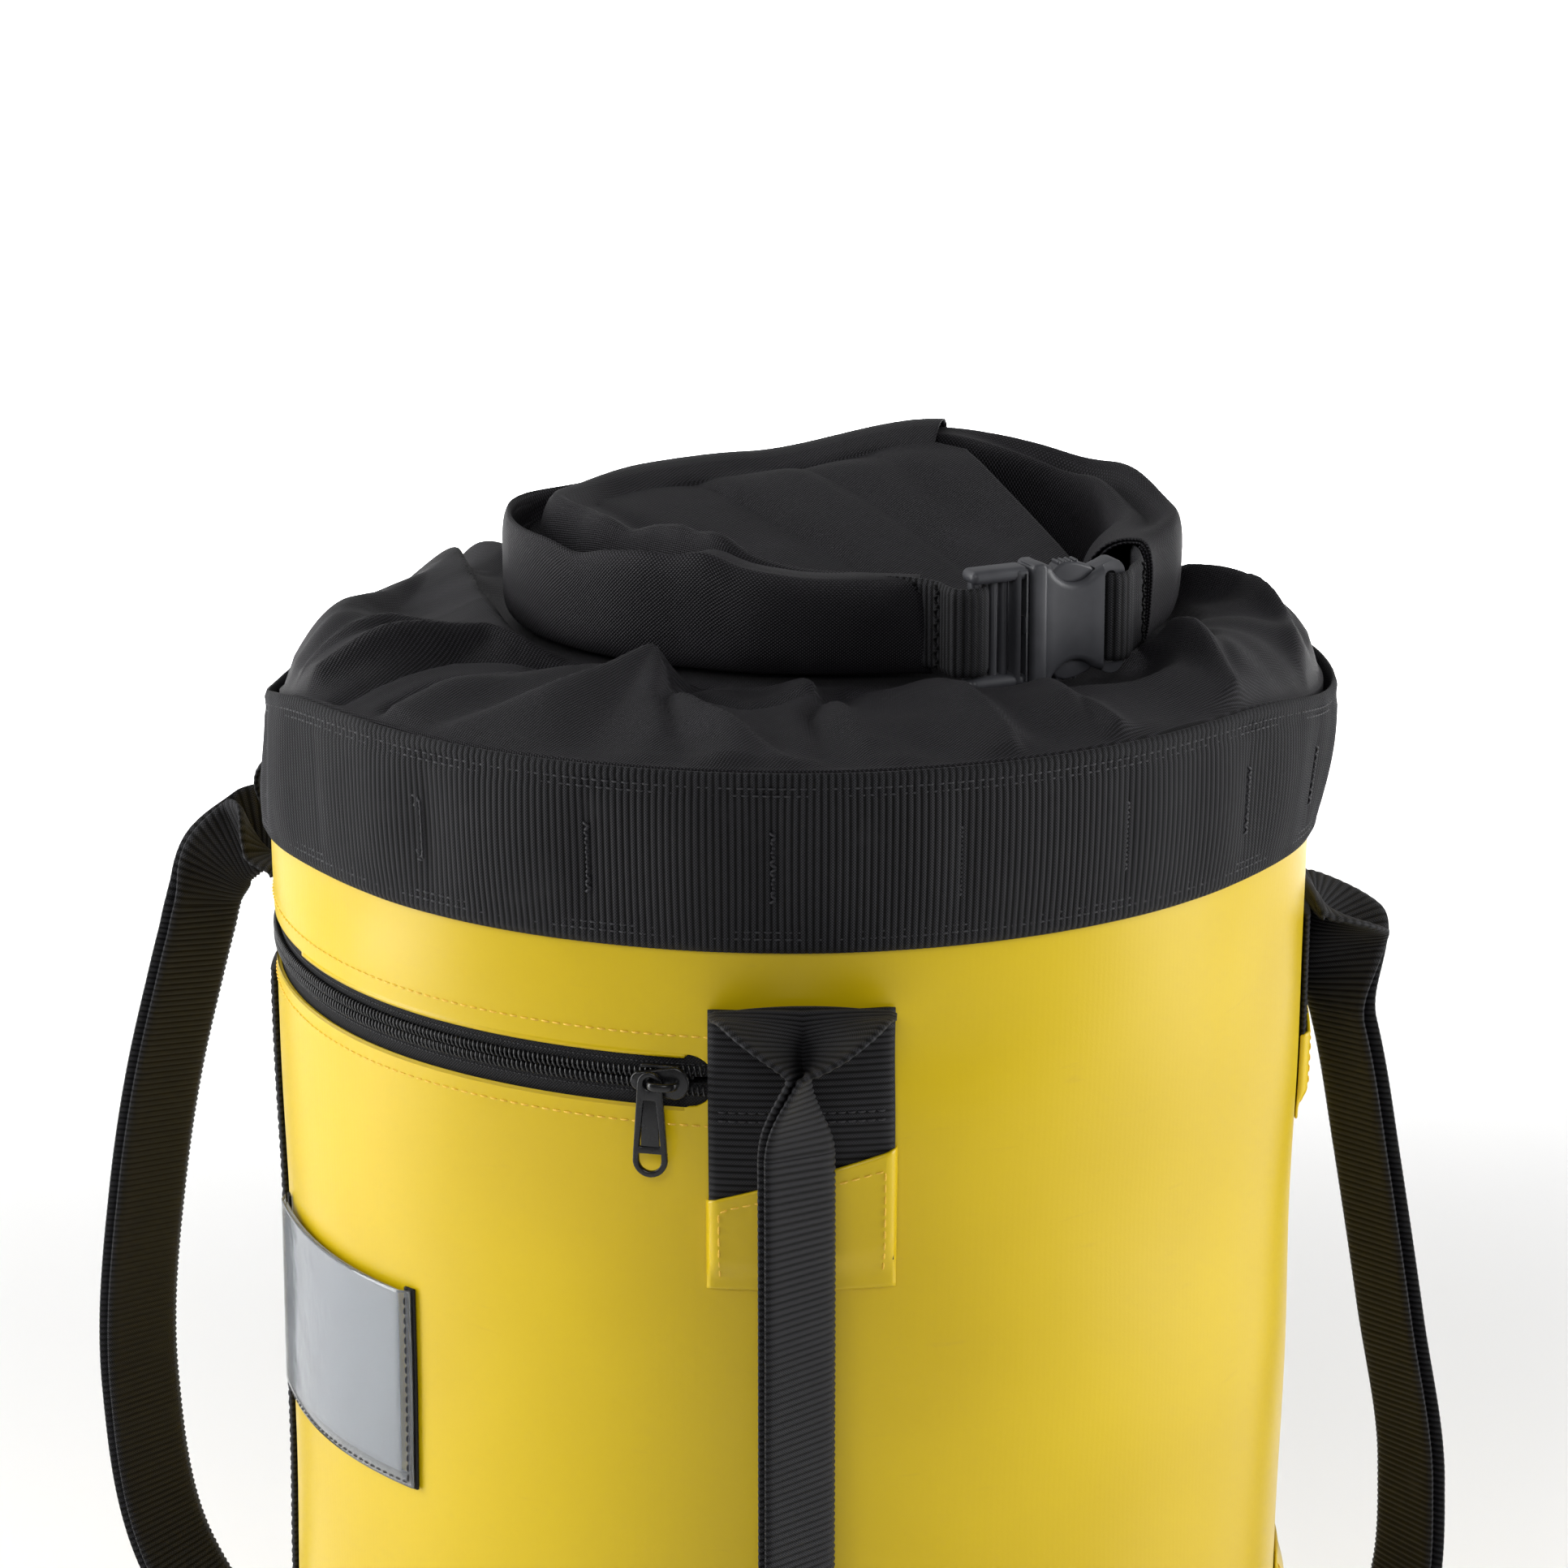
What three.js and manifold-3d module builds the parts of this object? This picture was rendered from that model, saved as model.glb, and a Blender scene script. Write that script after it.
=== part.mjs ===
// Roll-top dry bag: a stiff tarpaulin bucket with a webbing rim band, a rolled fabric closure held by
// a side-release buckle, a curved zip pocket, an identity window and three folded-webbing handles.
// Millimetres, +Z up. The origin is the centre of the base, and the front faces -Y.
// An azimuth of 0 is the front, and a positive one goes round to the right, towards +X.
import * as THREE from 'three';
import { mergeVertices } from 'three/addons/utils/BufferGeometryUtils.js';
import Module from 'manifold-3d';

const wasm = await Module();
wasm.setup();

// ---- Driving dimensions ----
const RADIUS = 150; // outside of the tarpaulin wall
const WALL = 2;
const RIM_Z = 430; // top of the wall and of the rim band
const BAND_HEIGHT = 50;
const WEBBING = 1.7; // thickness of one layer of webbing
const GAP = 0.4; // left between pieces that lie on each other
const ROUND_STEPS = 64; // facets in a full turn
const WRAP_STEP = 5; // degrees between the facets of a wrapped strip

const ZIP_Z = 343;
const ZIP_WINDOW = 15; // height of the slot in the wall
const ZIP_FROM = -96; // azimuths of the ends of the zip
const ZIP_TO = -7.6;
const COIL_SPLIT = 0.8; // each coil stops this far from the zip's middle, so that the post can pass
const COIL_HEIGHT = 2.4;
const SLIDER_AZIMUTH = -13;

const HANDLE_WIDTH = 50; // full width of the handle webbing
const HANDLE_TOP = 364; // the fold at the top of a handle
const HANDLE_BOTTOM = 66; // and the one at its foot
const PATCH_LENGTH = 72;
const COVER_WIDTH = 55;
const COVER_LENGTH = 30;
const COVER_SLANT = 15; // how much higher one corner of a cover is than the other
const SWING_RADIUS = RADIUS + 5.4; // where a strap starts, clear of the patch that it turns against

const SKIRT_TOP = 432.1;
const ROLL_BOTTOM = 434;
const ROLL_HEIGHT = 35;
const ROLL_THICKNESS = 15;
const ROLL_RISE = 9; // how much taller the roll is at the back
const ROLL_DROP = 6; // and how much lower its two free ends are
const PANEL_SLOPE = 20; // degrees

const BUCKLE_MOUTH = [64.5, -73, 449.5]; // centre of the socket's mouth
const BUCKLE_HEADING = 25; // degrees from +X, the way the socket's webbing leaves
const BUCKLE_WIDTH = 34;
const WEB_WIDTH = 25;

// ---- Materials ----
const finish = (color, roughness, metalness = 0) =>
  new THREE.MeshStandardMaterial({ color, roughness, metalness });
const materials = {
  tarpaulin: finish(0xe8bd14, 0.38),
  webbing: finish(0x1b1b1d, 0.9),
  collarFabric: finish(0x222225, 0.85),
  buckle: finish(0x33343a, 0.5),
  zipTape: finish(0x161617, 0.95),
  coil: finish(0x0d0d0e, 0.4),
  zipMetal: finish(0x0b0b0c, 0.3, 0.4),
  lining: finish(0x303033, 0.7),
  stiffener: finish(0x101010, 0.6),
  card: finish(0x8b8d90, 0.8),
  clearFilm: finish(0xc9ced3, 0.1),
};

const bag = new THREE.Group();

// ---- Helpers ----
const degrees = THREE.MathUtils.degToRad;

function add(name, geometry, material, parent = bag) {
  const mesh = new THREE.Mesh(geometry, material);
  mesh.name = name;
  parent.add(mesh);
  return mesh;
}

// A group turned so that what is built at the front stands at the azimuth.
function atAzimuth(azimuth) {
  const group = new THREE.Group();
  group.rotation.z = degrees(azimuth);
  bag.add(group);
  return group;
}

function toSolid(geometry) {
  const bare = geometry.index ? geometry.toNonIndexed() : geometry.clone();
  bare.deleteAttribute('normal');
  bare.deleteAttribute('uv');
  const merged = mergeVertices(bare, 1e-3);
  return new wasm.Manifold(
    new wasm.Mesh({
      numProp: 3,
      vertProperties: new Float32Array(merged.attributes.position.array),
      triVerts: new Uint32Array(merged.index.array),
    }),
  );
}

function toGeometry(solid) {
  const mesh = solid.getMesh();
  const geometry = new THREE.BufferGeometry();
  geometry.setAttribute('position', new THREE.BufferAttribute(mesh.vertProperties, 3));
  geometry.setIndex(new THREE.BufferAttribute(mesh.triVerts, 1));
  return geometry;
}

const cut = (geometry, ...tools) =>
  toGeometry(tools.reduce((rest, tool) => rest.subtract(toSolid(tool)), toSolid(geometry)));
const join = (...pieces) =>
  toGeometry(pieces.map(toSolid).reduce((whole, piece) => whole.add(piece)));
const common = (a, b) => toGeometry(toSolid(a).intersect(toSolid(b)));

// A box from its lowest to its highest corner.
function block(low, high) {
  const size = high.map((value, i) => value - low[i]);
  const middle = high.map((value, i) => (value + low[i]) / 2);
  return new THREE.BoxGeometry(...size).translate(...middle);
}

// A ring turned about Z from a closed profile of [radius, height].
function turned(profile) {
  const points = profile.map(([radius, height]) => new THREE.Vector2(radius, height));
  return new THREE.LatheGeometry(points, ROUND_STEPS).rotateX(Math.PI / 2);
}

const ringBetween = (inner, outer, low, high) =>
  turned([[inner, low], [outer, low], [outer, high], [inner, high], [inner, low]]);

// A strip wrapped round the bag between two azimuths. slant lifts its top, or drops its foot,
// towards the end with the larger azimuth.
function wrapped(from, to, inner, outer, low, high, slantTop = 0, slantFoot = 0) {
  const steps = Math.max(2, Math.ceil((to - from) / WRAP_STEP));
  const strip = new THREE.BoxGeometry(to - from, outer - inner, high - low, steps, 1, 1);
  const place = strip.attributes.position;
  for (let i = 0; i < place.count; i++) {
    const share = place.getX(i) / (to - from);
    const azimuth = degrees((from + to) / 2 + place.getX(i));
    const radius = (inner + outer) / 2 - place.getY(i);
    const isTop = place.getZ(i) > 0;
    const slant = share * (isTop ? slantTop : slantFoot);
    const height = (low + high) / 2 + place.getZ(i) + slant;
    place.setXYZ(i, radius * Math.sin(azimuth), -radius * Math.cos(azimuth), height);
  }
  return strip;
}

// The outline of a ribbon of a given width along a flat curve.
function ribbonOutline(points, width, steps) {
  const curve = new THREE.CatmullRomCurve3(points.map(([x, y]) => new THREE.Vector3(x, y, 0)));
  const sides = [[], []];
  for (let i = 0; i <= steps; i++) {
    const point = curve.getPointAt(i / steps);
    const along = curve.getTangentAt(i / steps);
    [1, -1].forEach((sign, side) => {
      const offset = (sign * width) / 2;
      sides[side].push(new THREE.Vector2(point.x - along.y * offset, point.y + along.x * offset));
    });
  }
  return [...sides[0], ...sides[1].reverse()];
}

function ribbon(points, width, depth, steps) {
  const shape = new THREE.Shape(ribbonOutline(points, width, steps));
  return new THREE.ExtrudeGeometry(shape, { depth, bevelEnabled: false });
}

// Stands a flat extrusion, drawn as radius against height, upright across the front of the bag.
function standing(geometry, depth) {
  const upright = new THREE.Matrix4().makeBasis(
    new THREE.Vector3(0, -1, 0),
    new THREE.Vector3(0, 0, 1),
    new THREE.Vector3(-1, 0, 0),
  );
  return geometry.translate(0, 0, -depth / 2).applyMatrix4(upright);
}

// The same flat path with both its ends moved on, or back when the length is negative.
function extended(points, length) {
  const moveOn = ([x, y], [fromX, fromY]) => {
    const share = length / Math.hypot(x - fromX, y - fromY);
    return [x + (x - fromX) * share, y + (y - fromY) * share];
  };
  return [
    moveOn(points[0], points[1]),
    ...points.slice(1, -1),
    moveOn(points.at(-1), points.at(-2)),
  ];
}

// Half the azimuth that a strip of some width covers on the wall.
const halfSpan = (width) => THREE.MathUtils.radToDeg(width / 2 / RADIUS);

// ---- Bucket: wall, base, seams and rim ----
function addBucket() {
  const slot = wrapped(
    ZIP_FROM, ZIP_TO, RADIUS - 6, RADIUS + 6, ZIP_Z - ZIP_WINDOW / 2, ZIP_Z + ZIP_WINDOW / 2,
  );
  const wall = ringBetween(RADIUS - WALL, RADIUS, 3.2, RIM_Z - 1);
  add('body_wall', cut(wall, slot), materials.tarpaulin);
  add('base_panel', turned([[0, 0], [RADIUS, 0], [RADIUS, 2.8], [0, 2.8]]), materials.tarpaulin);
  add(
    'base_binding',
    ringBetween(RADIUS + GAP, RADIUS + GAP + WEBBING, 1.6, 26),
    materials.webbing,
  );
  add(
    'rim_band',
    ringBetween(RADIUS + GAP, RADIUS + GAP + WEBBING, RIM_Z - BAND_HEIGHT, RIM_Z),
    materials.webbing,
  );
  const inside = RADIUS - WALL - GAP;
  add(
    'inner_rim_band',
    ringBetween(inside - WEBBING, inside, RIM_Z - BAND_HEIGHT + 3, RIM_Z - 7),
    materials.webbing,
  );
  add(
    'back_seam_strip',
    wrapped(167, 180, RADIUS + GAP, RADIUS + 1.4, 30, RIM_Z - BAND_HEIGHT - 4),
    materials.tarpaulin,
  );
  add(
    'side_binding',
    wrapped(-95, -87.2, RADIUS + GAP, RADIUS + GAP + WEBBING, 30, 328),
    materials.webbing,
  );
  const loopPath = [
    [RADIUS + 3.2, 399], [RADIUS + 6, 394], [RADIUS + 5.6, 387], [RADIUS + 3.2, 383],
  ];
  const loopWidth = 14;
  add(
    'gear_loop',
    standing(ribbon(loopPath, 1.4, loopWidth, 8), loopWidth),
    materials.webbing,
    atAzimuth(-96),
  );
}

// ---- Fabric closure: skirt, front panel, roll and its stiffener ----
// The middle of the rolled fabric, from its left end at the front, round the back, to its right end.
const ROLL_PATH = [
  [33, -67], [-12, -65], [-46, -50], [-69, -24], [-75, 4], [-58, 34],
  [-12, 51], [45, 52], [88, 32], [103, 0], [96.5, -35],
];
const ROLL_STEPS = 44;

// Shapes the top of a piece of the roll, which is tallest at the back and lowest at its free ends.
function withRollTop(geometry) {
  const place = geometry.attributes.position;
  const { smoothstep } = THREE.MathUtils;
  const ends = [ROLL_PATH[0], ROLL_PATH.at(-1)];
  for (let i = 0; i < place.count; i++) {
    const [x, y, z] = [place.getX(i), place.getY(i), place.getZ(i)];
    if (z > ROLL_BOTTOM + ROLL_HEIGHT / 2) {
      const toEnd = Math.min(...ends.map(([endX, endY]) => Math.hypot(x - endX, y - endY)));
      const rise = ROLL_RISE * smoothstep(y, -20, 50) * smoothstep(x, -50, 45);
      const drop = ROLL_DROP * (1 - smoothstep(toEnd, 0, 50));
      place.setZ(i, z + rise - drop);
    }
  }
  return geometry;
}

// A layer of the roll, set in from its lower and upper edges.
function rollLayer(path, thickness, inset) {
  const layer = ribbon(path, thickness, ROLL_HEIGHT - 2 * inset, ROLL_STEPS);
  return withRollTop(layer.translate(0, 0, ROLL_BOTTOM + inset));
}

function addClosure() {
  const outside = RADIUS - 1;
  const underside = SKIRT_TOP - 1.3;
  add(
    'collar_skirt',
    turned([
      [0, underside], [140, underside], [outside - 2, RIM_Z], [outside - 2, RIM_Z - 0.6],
      [outside, RIM_Z - 0.6], [outside, SKIRT_TOP - 0.8], [140, SKIRT_TOP], [0, SKIRT_TOP],
    ]),
    materials.collarFabric,
  );

  const sheathInset = 4;
  const roll = rollLayer(ROLL_PATH, ROLL_THICKNESS, 0);
  const sheath = rollLayer(extended(ROLL_PATH, 1.5), 4, sheathInset);
  add('roll', cut(roll, sheath), materials.collarFabric);
  add(
    'roll_stiffener',
    rollLayer(extended(ROLL_PATH, -2), 2, sheathInset + 1.5),
    materials.stiffener,
  );

  // The front panel slopes up inside the ring that the roll makes.
  const clearance = 3;
  const inner = ribbonOutline(ROLL_PATH, ROLL_THICKNESS + clearance, ROLL_STEPS)
    .slice(ROLL_STEPS + 1);
  const tower = new THREE.ExtrudeGeometry(new THREE.Shape(inner), {
    depth: 100, bevelEnabled: false,
  }).translate(0, 0, ROLL_BOTTOM - 1);
  const slope = new THREE.BoxGeometry(240, 160, 3)
    .rotateX(degrees(PANEL_SLOPE))
    .translate(0, 0, ROLL_BOTTOM + 22);
  add('collar_panel', common(slope, tower), materials.collarFabric);
}

// ---- Side-release buckle, drawn along +X with its width along Z, and its webbing tails ----
function addBuckle() {
  const buckle = new THREE.Group();
  buckle.position.set(...BUCKLE_MOUTH);
  buckle.rotation.z = degrees(BUCKLE_HEADING);
  bag.add(buckle);
  const half = BUCKLE_WIDTH / 2;
  const slotHalf = WEB_WIDTH / 2 + 0.6;

  const windowCutter = (side) =>
    new THREE.CylinderGeometry(8.6, 8.6, 20, 28).translate(13.6, 0, side * (half + 0.4));
  const socketBody = join(
    block([0, -4.75, -half], [22, 4.75, half]),
    block([21, -2.4, -half + 1], [29.5, 2.4, half - 1]),
  );
  const cavity = block([-1, -3.1, -14.6], [20.5, 3.1, 14.6]);
  const socketSlot = block([23.6, -6, -slotHalf], [26.6, 6, slotHalf]);
  add(
    'buckle_socket',
    cut(socketBody, cavity, socketSlot, windowCutter(1), windowCutter(-1)),
    materials.buckle,
    buckle,
  );

  const plugFrame = block([-17.5, -4, -half], [-0.4, 4, half]);
  const plugSlots = [[-15.2, -11.6], [-8.4, -5]].map(([from, to]) =>
    block([from, -6, -slotHalf], [to, 6, slotHalf]));
  add(
    'buckle_plug',
    join(cut(plugFrame, ...plugSlots), block([-1, -2.4, -2.4], [16, 2.4, 2.4])),
    materials.buckle,
    buckle,
  );

  // An arm that springs out into the socket's window, with a shoulder behind the collar.
  const arm = [
    [0.5, 9.8], [0.5, 13.9], [7.2, 13.9], [7.6, 15.6], [10, 16.6], [14, 16.9],
    [18, 15.6], [20, 12.6], [19.4, 10.4], [14, 9.8],
  ];
  [['upper', 1], ['lower', -1]].forEach(([place, side]) => {
    const outline = arm.map(([along, out]) => new THREE.Vector2(along, side * out));
    const shape = new THREE.Shape(side > 0 ? outline : outline.reverse());
    const thickness = 5.2;
    const geometry = new THREE.ExtrudeGeometry(shape, { depth: thickness, bevelEnabled: false })
      .translate(0, 0, -thickness / 2)
      .rotateX(Math.PI / 2);
    add(`buckle_arm_${place}`, geometry, materials.buckle, buckle);
  });

  const halfWeb = WEB_WIDTH / 2;
  const webbing = (points) =>
    ribbon(points, 2 * WEBBING, WEB_WIDTH, 6).translate(0, 0, BUCKLE_MOUTH[2] - halfWeb);
  add(
    'left_tail_webbing',
    webbing([[34.8, -71.8], [37.5, -76], [41.5, -79.8], [47, -81.1]]),
    materials.webbing,
  );
  add(
    'right_tail_webbing',
    webbing([[93, -59.7], [96, -54], [97, -46], [96.4, -36.4]]),
    materials.webbing,
  );
}

// ---- Zip pocket ----
function addZip() {
  const tapeInner = RADIUS - WALL - GAP - 0.7;
  const tapeOuter = RADIUS - WALL - GAP;
  const tapeReach = 14;
  const coilFrom = ZIP_FROM + 1;
  const coilTo = ZIP_TO - 1;
  [['upper', 1], ['lower', -1]].forEach(([place, side]) => {
    const between = (near, far) =>
      [ZIP_Z + side * near, ZIP_Z + side * far].sort((a, b) => a - b);
    add(
      `zip_tape_${place}`,
      wrapped(ZIP_FROM - 1, ZIP_TO + 1, tapeInner, tapeOuter, ...between(COIL_SPLIT, tapeReach)),
      materials.zipTape,
    );
    add(
      `zip_coil_${place}`,
      wrapped(
        coilFrom, coilTo, tapeOuter + GAP, RADIUS + 0.4,
        ...between(COIL_SPLIT, COIL_SPLIT + COIL_HEIGHT),
      ),
      materials.coil,
    );
  });
  const [from, to, low, high] = [ZIP_FROM - 5, ZIP_TO + 5, 232, 372];
  add(
    'zip_pocket_lining',
    cut(
      wrapped(from, to, RADIUS - 11.2, tapeOuter - GAP, low, high),
      wrapped(from + 1, to - 1, RADIUS - 10, RADIUS, low + 2, high - 2),
    ),
    materials.lining,
  );
}

// The slider and its pull, drawn at the front with y as the depth behind the wall's surface.
function addSlider() {
  const group = atAzimuth(SLIDER_AZIMUTH);
  const place = (geometry) => geometry.translate(0, -RADIUS, ZIP_Z);
  const frontPlate = block([-6.5, -2.6, -4.6], [6.5, -1, 4.6]);
  const backPlate = block([-6, 3.5, -4.2], [6, 4.6, 4.2]);
  const post = block([2.2, -1.4, -0.45], [5.2, 4, 0.45]);
  const bridgeLegs = [[-3.2, -1.8], [3.6, 5]].map(([from, to]) =>
    block([from, -6, -0.7], [to, -2, 0.7]));
  const bridgeBar = block([-3.2, -7, -0.7], [5, -5.4, 0.7]);
  add(
    'zip_slider',
    place(join(frontPlate, backPlate, post, ...bridgeLegs, bridgeBar)),
    materials.zipMetal,
    group,
  );

  // The pull hangs on the bridge's left leg, at (-2.5, 0) here.
  const outline = new THREE.Shape();
  outline.absarc(-2.5, 0, 3.6, 0, Math.PI);
  outline.lineTo(-7.3, -21.5);
  outline.absarc(-2.5, -21.5, 4.8, Math.PI, 2 * Math.PI);
  outline.lineTo(1.1, 0);
  const eye = new THREE.Path().absarc(-2.5, 0.2, 1.6, 0, 2 * Math.PI, true);
  const grip = new THREE.Path().absarc(-2.5, -21.5, 2.6, 0, 2 * Math.PI, true);
  outline.holes.push(eye, grip);
  const thickness = 1.5;
  const pull = new THREE.ExtrudeGeometry(outline, {
    depth: thickness, bevelEnabled: false, curveSegments: 14,
  });
  add('zip_pull', place(pull.rotateX(Math.PI / 2).translate(0, -3.2, 0)), materials.zipMetal, group);
}

// ---- Identity window ----
function addWindow() {
  const [from, to, low, high] = [-79, -44.6, 207, 267];
  add(
    'id_window_frame',
    cut(
      wrapped(from, to, RADIUS + GAP, RADIUS + 1.2, low, high),
      wrapped(from + 1.6, to - 1.6, RADIUS - 2, RADIUS + 4, low + 4, high + 4),
    ),
    materials.webbing,
  );
  add(
    'id_card',
    wrapped(from + 1.8, to - 1.8, RADIUS + GAP, RADIUS + 0.9, low + 4.4, high - 1),
    materials.card,
  );
  add(
    'id_window',
    wrapped(from + 0.2, to - 0.2, RADIUS + 1.6, RADIUS + 2.1, low + 0.4, high - 0.4),
    materials.clearFilm,
  );
}

// ---- Handles ----
// Each strap's path is [distance from the axis, height], and its section is the depth and the width
// of the webbing there, which is folded along its length. The front strap lies flat to the bag, the
// left one stands edge-on to it, and the right one is turned halfway.
const HANDLES = [
  {
    name: 'front_handle',
    azimuth: 1.3,
    section: [4.5, 24],
    path: [
      [SWING_RADIUS + 2.6, 356], [163, 346], [167, 322], [170, 230],
      [167, 130], [163, 88], [SWING_RADIUS + 2.6, 78],
    ],
  },
  {
    name: 'left_handle',
    azimuth: -108,
    section: [24, 4.5],
    path: [
      [SWING_RADIUS - 3, 346], [178, 342], [191, 325], [201, 295], [213, 236],
      [215, 170], [200, 112], [178, 84], [SWING_RADIUS - 3, 80],
    ],
  },
  {
    name: 'right_handle',
    azimuth: 95,
    section: [17, 11],
    path: [
      [SWING_RADIUS - 3, 345], [162, 340], [166.5, 320], [168.5, 300], [173, 270],
      [184, 215], [190, 160], [184, 112], [170, 88], [SWING_RADIUS - 3, 84],
    ],
  },
];

// Narrows a standing strap towards the ends that turn against the patches.
function necked(geometry) {
  const place = geometry.attributes.position;
  for (let i = 0; i < place.count; i++) {
    const share = THREE.MathUtils.smoothstep(-place.getY(i), SWING_RADIUS, SWING_RADIUS + 12);
    place.setX(i, place.getX(i) * THREE.MathUtils.lerp(0.4, 1, share));
  }
  return geometry;
}

function addHandle({ name, azimuth, section, path }) {
  const group = atAzimuth(azimuth);
  const patchSpan = halfSpan(HANDLE_WIDTH);
  const coverSpan = halfSpan(COVER_WIDTH);
  const patchOuter = RADIUS + GAP + WEBBING;
  const coverInner = patchOuter + GAP;
  const patch = (low, high) =>
    wrapped(-patchSpan, patchSpan, RADIUS + GAP, patchOuter, low, high);
  const cover = (low, high, slantTop, slantFoot) => wrapped(
    -coverSpan, coverSpan, coverInner, coverInner + 1.1, low, high, slantTop, slantFoot,
  );

  const topEnd = HANDLE_TOP - PATCH_LENGTH;
  const footEnd = HANDLE_BOTTOM + PATCH_LENGTH;
  const overlap = 22;
  add(`${name}_upper_patch`, patch(topEnd, HANDLE_TOP), materials.webbing, group);
  add(`${name}_lower_patch`, patch(HANDLE_BOTTOM, footEnd), materials.webbing, group);
  add(
    `${name}_upper_cover`,
    cover(topEnd + overlap - COVER_LENGTH, topEnd + overlap + 3, COVER_SLANT, 0),
    materials.tarpaulin,
    group,
  );
  add(
    `${name}_lower_cover`,
    cover(footEnd - overlap - 3, footEnd - overlap + COVER_LENGTH, 0, COVER_SLANT),
    materials.tarpaulin,
    group,
  );

  const [depth, width] = section;
  const strap = necked(standing(ribbon(path, depth, width, 36), width));
  const clearOfPatch = SWING_RADIUS - 1.3;
  const trimmed = cut(strap, block([-width, -clearOfPatch, 0], [width, 0, RIM_Z]));
  add(`${name}_strap`, trimmed, materials.webbing, group);
}

addBucket();
addClosure();
addBuckle();
addZip();
addSlider();
addWindow();
HANDLES.forEach(addHandle);

export default bag;
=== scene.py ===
"""Looks of a roll-top dry bag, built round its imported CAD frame.

Everything is in metres, +Z up, front towards -Y. Azimuth 0 is the front, and positive goes towards +X.
Lengths written with MM are millimetres. A strip's grid runs along its length first, then across it.
"""

import math

import bmesh
import bpy
import numpy as np
from mathutils import Matrix, Vector


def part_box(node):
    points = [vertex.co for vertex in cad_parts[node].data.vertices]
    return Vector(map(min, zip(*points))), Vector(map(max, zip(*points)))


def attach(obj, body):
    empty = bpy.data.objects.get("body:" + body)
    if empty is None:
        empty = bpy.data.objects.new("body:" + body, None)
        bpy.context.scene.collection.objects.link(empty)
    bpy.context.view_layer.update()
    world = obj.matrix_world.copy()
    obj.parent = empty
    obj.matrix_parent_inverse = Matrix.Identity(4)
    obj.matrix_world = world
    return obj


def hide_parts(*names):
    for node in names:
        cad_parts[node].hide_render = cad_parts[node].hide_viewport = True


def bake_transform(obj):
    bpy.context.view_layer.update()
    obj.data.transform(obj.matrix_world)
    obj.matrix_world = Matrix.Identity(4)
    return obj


MM = 0.001
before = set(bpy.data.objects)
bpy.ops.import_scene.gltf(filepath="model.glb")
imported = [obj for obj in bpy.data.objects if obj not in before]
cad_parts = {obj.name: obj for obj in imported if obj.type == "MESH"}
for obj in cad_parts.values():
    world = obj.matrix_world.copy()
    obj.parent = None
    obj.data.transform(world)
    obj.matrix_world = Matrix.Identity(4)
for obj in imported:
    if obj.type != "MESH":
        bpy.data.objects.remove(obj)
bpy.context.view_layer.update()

# ---- Places taken from the frame ----
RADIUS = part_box("body_wall")[1].x
RIM_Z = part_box("rim_band")[1].z
BAND_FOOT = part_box("rim_band")[0].z
ROLL_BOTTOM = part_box("roll")[0].z
WEBBING = 1.7 * MM
RIB_PITCH = 1.88 * MM  # of all the webbing
ZIP_Z = (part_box("zip_coil_upper")[1].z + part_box("zip_coil_lower")[0].z) / 2
ZIP_FROM = -96.0
ZIP_TO = -7.6
ZIP_HALF = 7.5 * MM
HANDLES = {"front_handle": 1.3, "left_handle": -108.0, "right_handle": 95.0}  # their azimuths
FIRST_TACK = -20.5  # azimuth of one of the rim band's bar tacks
TACK_SPACING = 18.9
BAND_FLARE = 2.2 * MM
BAND_LIFT = 1.2 * MM
SLIDER_AZIMUTH = -13.0


def span_of(node):
    """The lowest and highest heights of a CAD node."""
    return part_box(node)[0].z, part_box(node)[1].z


# ---- Shape helpers ----
def smoothstep(low, high, value):
    share = np.clip((value - low) / (high - low), 0, 1)
    return share * share * (3 - 2 * share)


def travelled(points):
    """The distance along a line at each of its points."""
    return np.concatenate([[0], np.cumsum(np.linalg.norm(np.diff(points, axis=0), axis=1))])


def resampled(line, step):
    """The line again with evenly spaced points, about one step apart. Values after x, y and z are
    carried along with them."""
    line = np.asarray(line, float)
    along = travelled(line[:, :3])
    at = np.linspace(0, along[-1], max(2, round(along[-1] / step) + 1))
    return np.stack([np.interp(at, along, line[:, k]) for k in range(line.shape[1])], axis=1)


def smooth_path(points, step):
    """A smooth curve through the points, evenly sampled."""
    points = np.asarray(points, float)
    at = travelled(points)
    chord = np.diff(at)
    slope = np.gradient(points, at, axis=0)
    fine = np.linspace(0, at[-1], 60 * len(points))
    i = np.clip(np.searchsorted(at, fine, side="right") - 1, 0, len(chord) - 1)
    h = chord[i][:, None]
    t = ((fine - at[i]) / chord[i])[:, None]
    start, end = points[i], points[i + 1]
    curve = start * (2 * t**3 - 3 * t**2 + 1) + end * (3 * t**2 - 2 * t**3)
    curve += h * (slope[i] * (t**3 - 2 * t**2 + t) + slope[i + 1] * (t**3 - t**2))
    return resampled(curve, step)


def joined_up(corners, steps):
    """Points along the straight lines that join corners, with that many on each."""
    return np.concatenate([np.linspace(start, end, steps) for start, end in zip(corners[:-1], corners[1:])])


def round_table(pairs, azimuth):
    """A value read from pairs of azimuth and value, smoothed."""
    at, values = zip(*pairs)
    total = 0
    for shift in (-8, -4, 0, 4, 8):
        total = total + np.interp((azimuth + shift + 180) % 360 - 180, at, values)
    return total / 5


def unit(vectors):
    return vectors / np.maximum(np.linalg.norm(vectors, axis=-1, keepdims=True), 1e-12)


def beside(run):
    """Directions square to a flat path's run, to the left of it."""
    return np.stack([-run[:, 1], run[:, 0]], axis=1)


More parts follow.
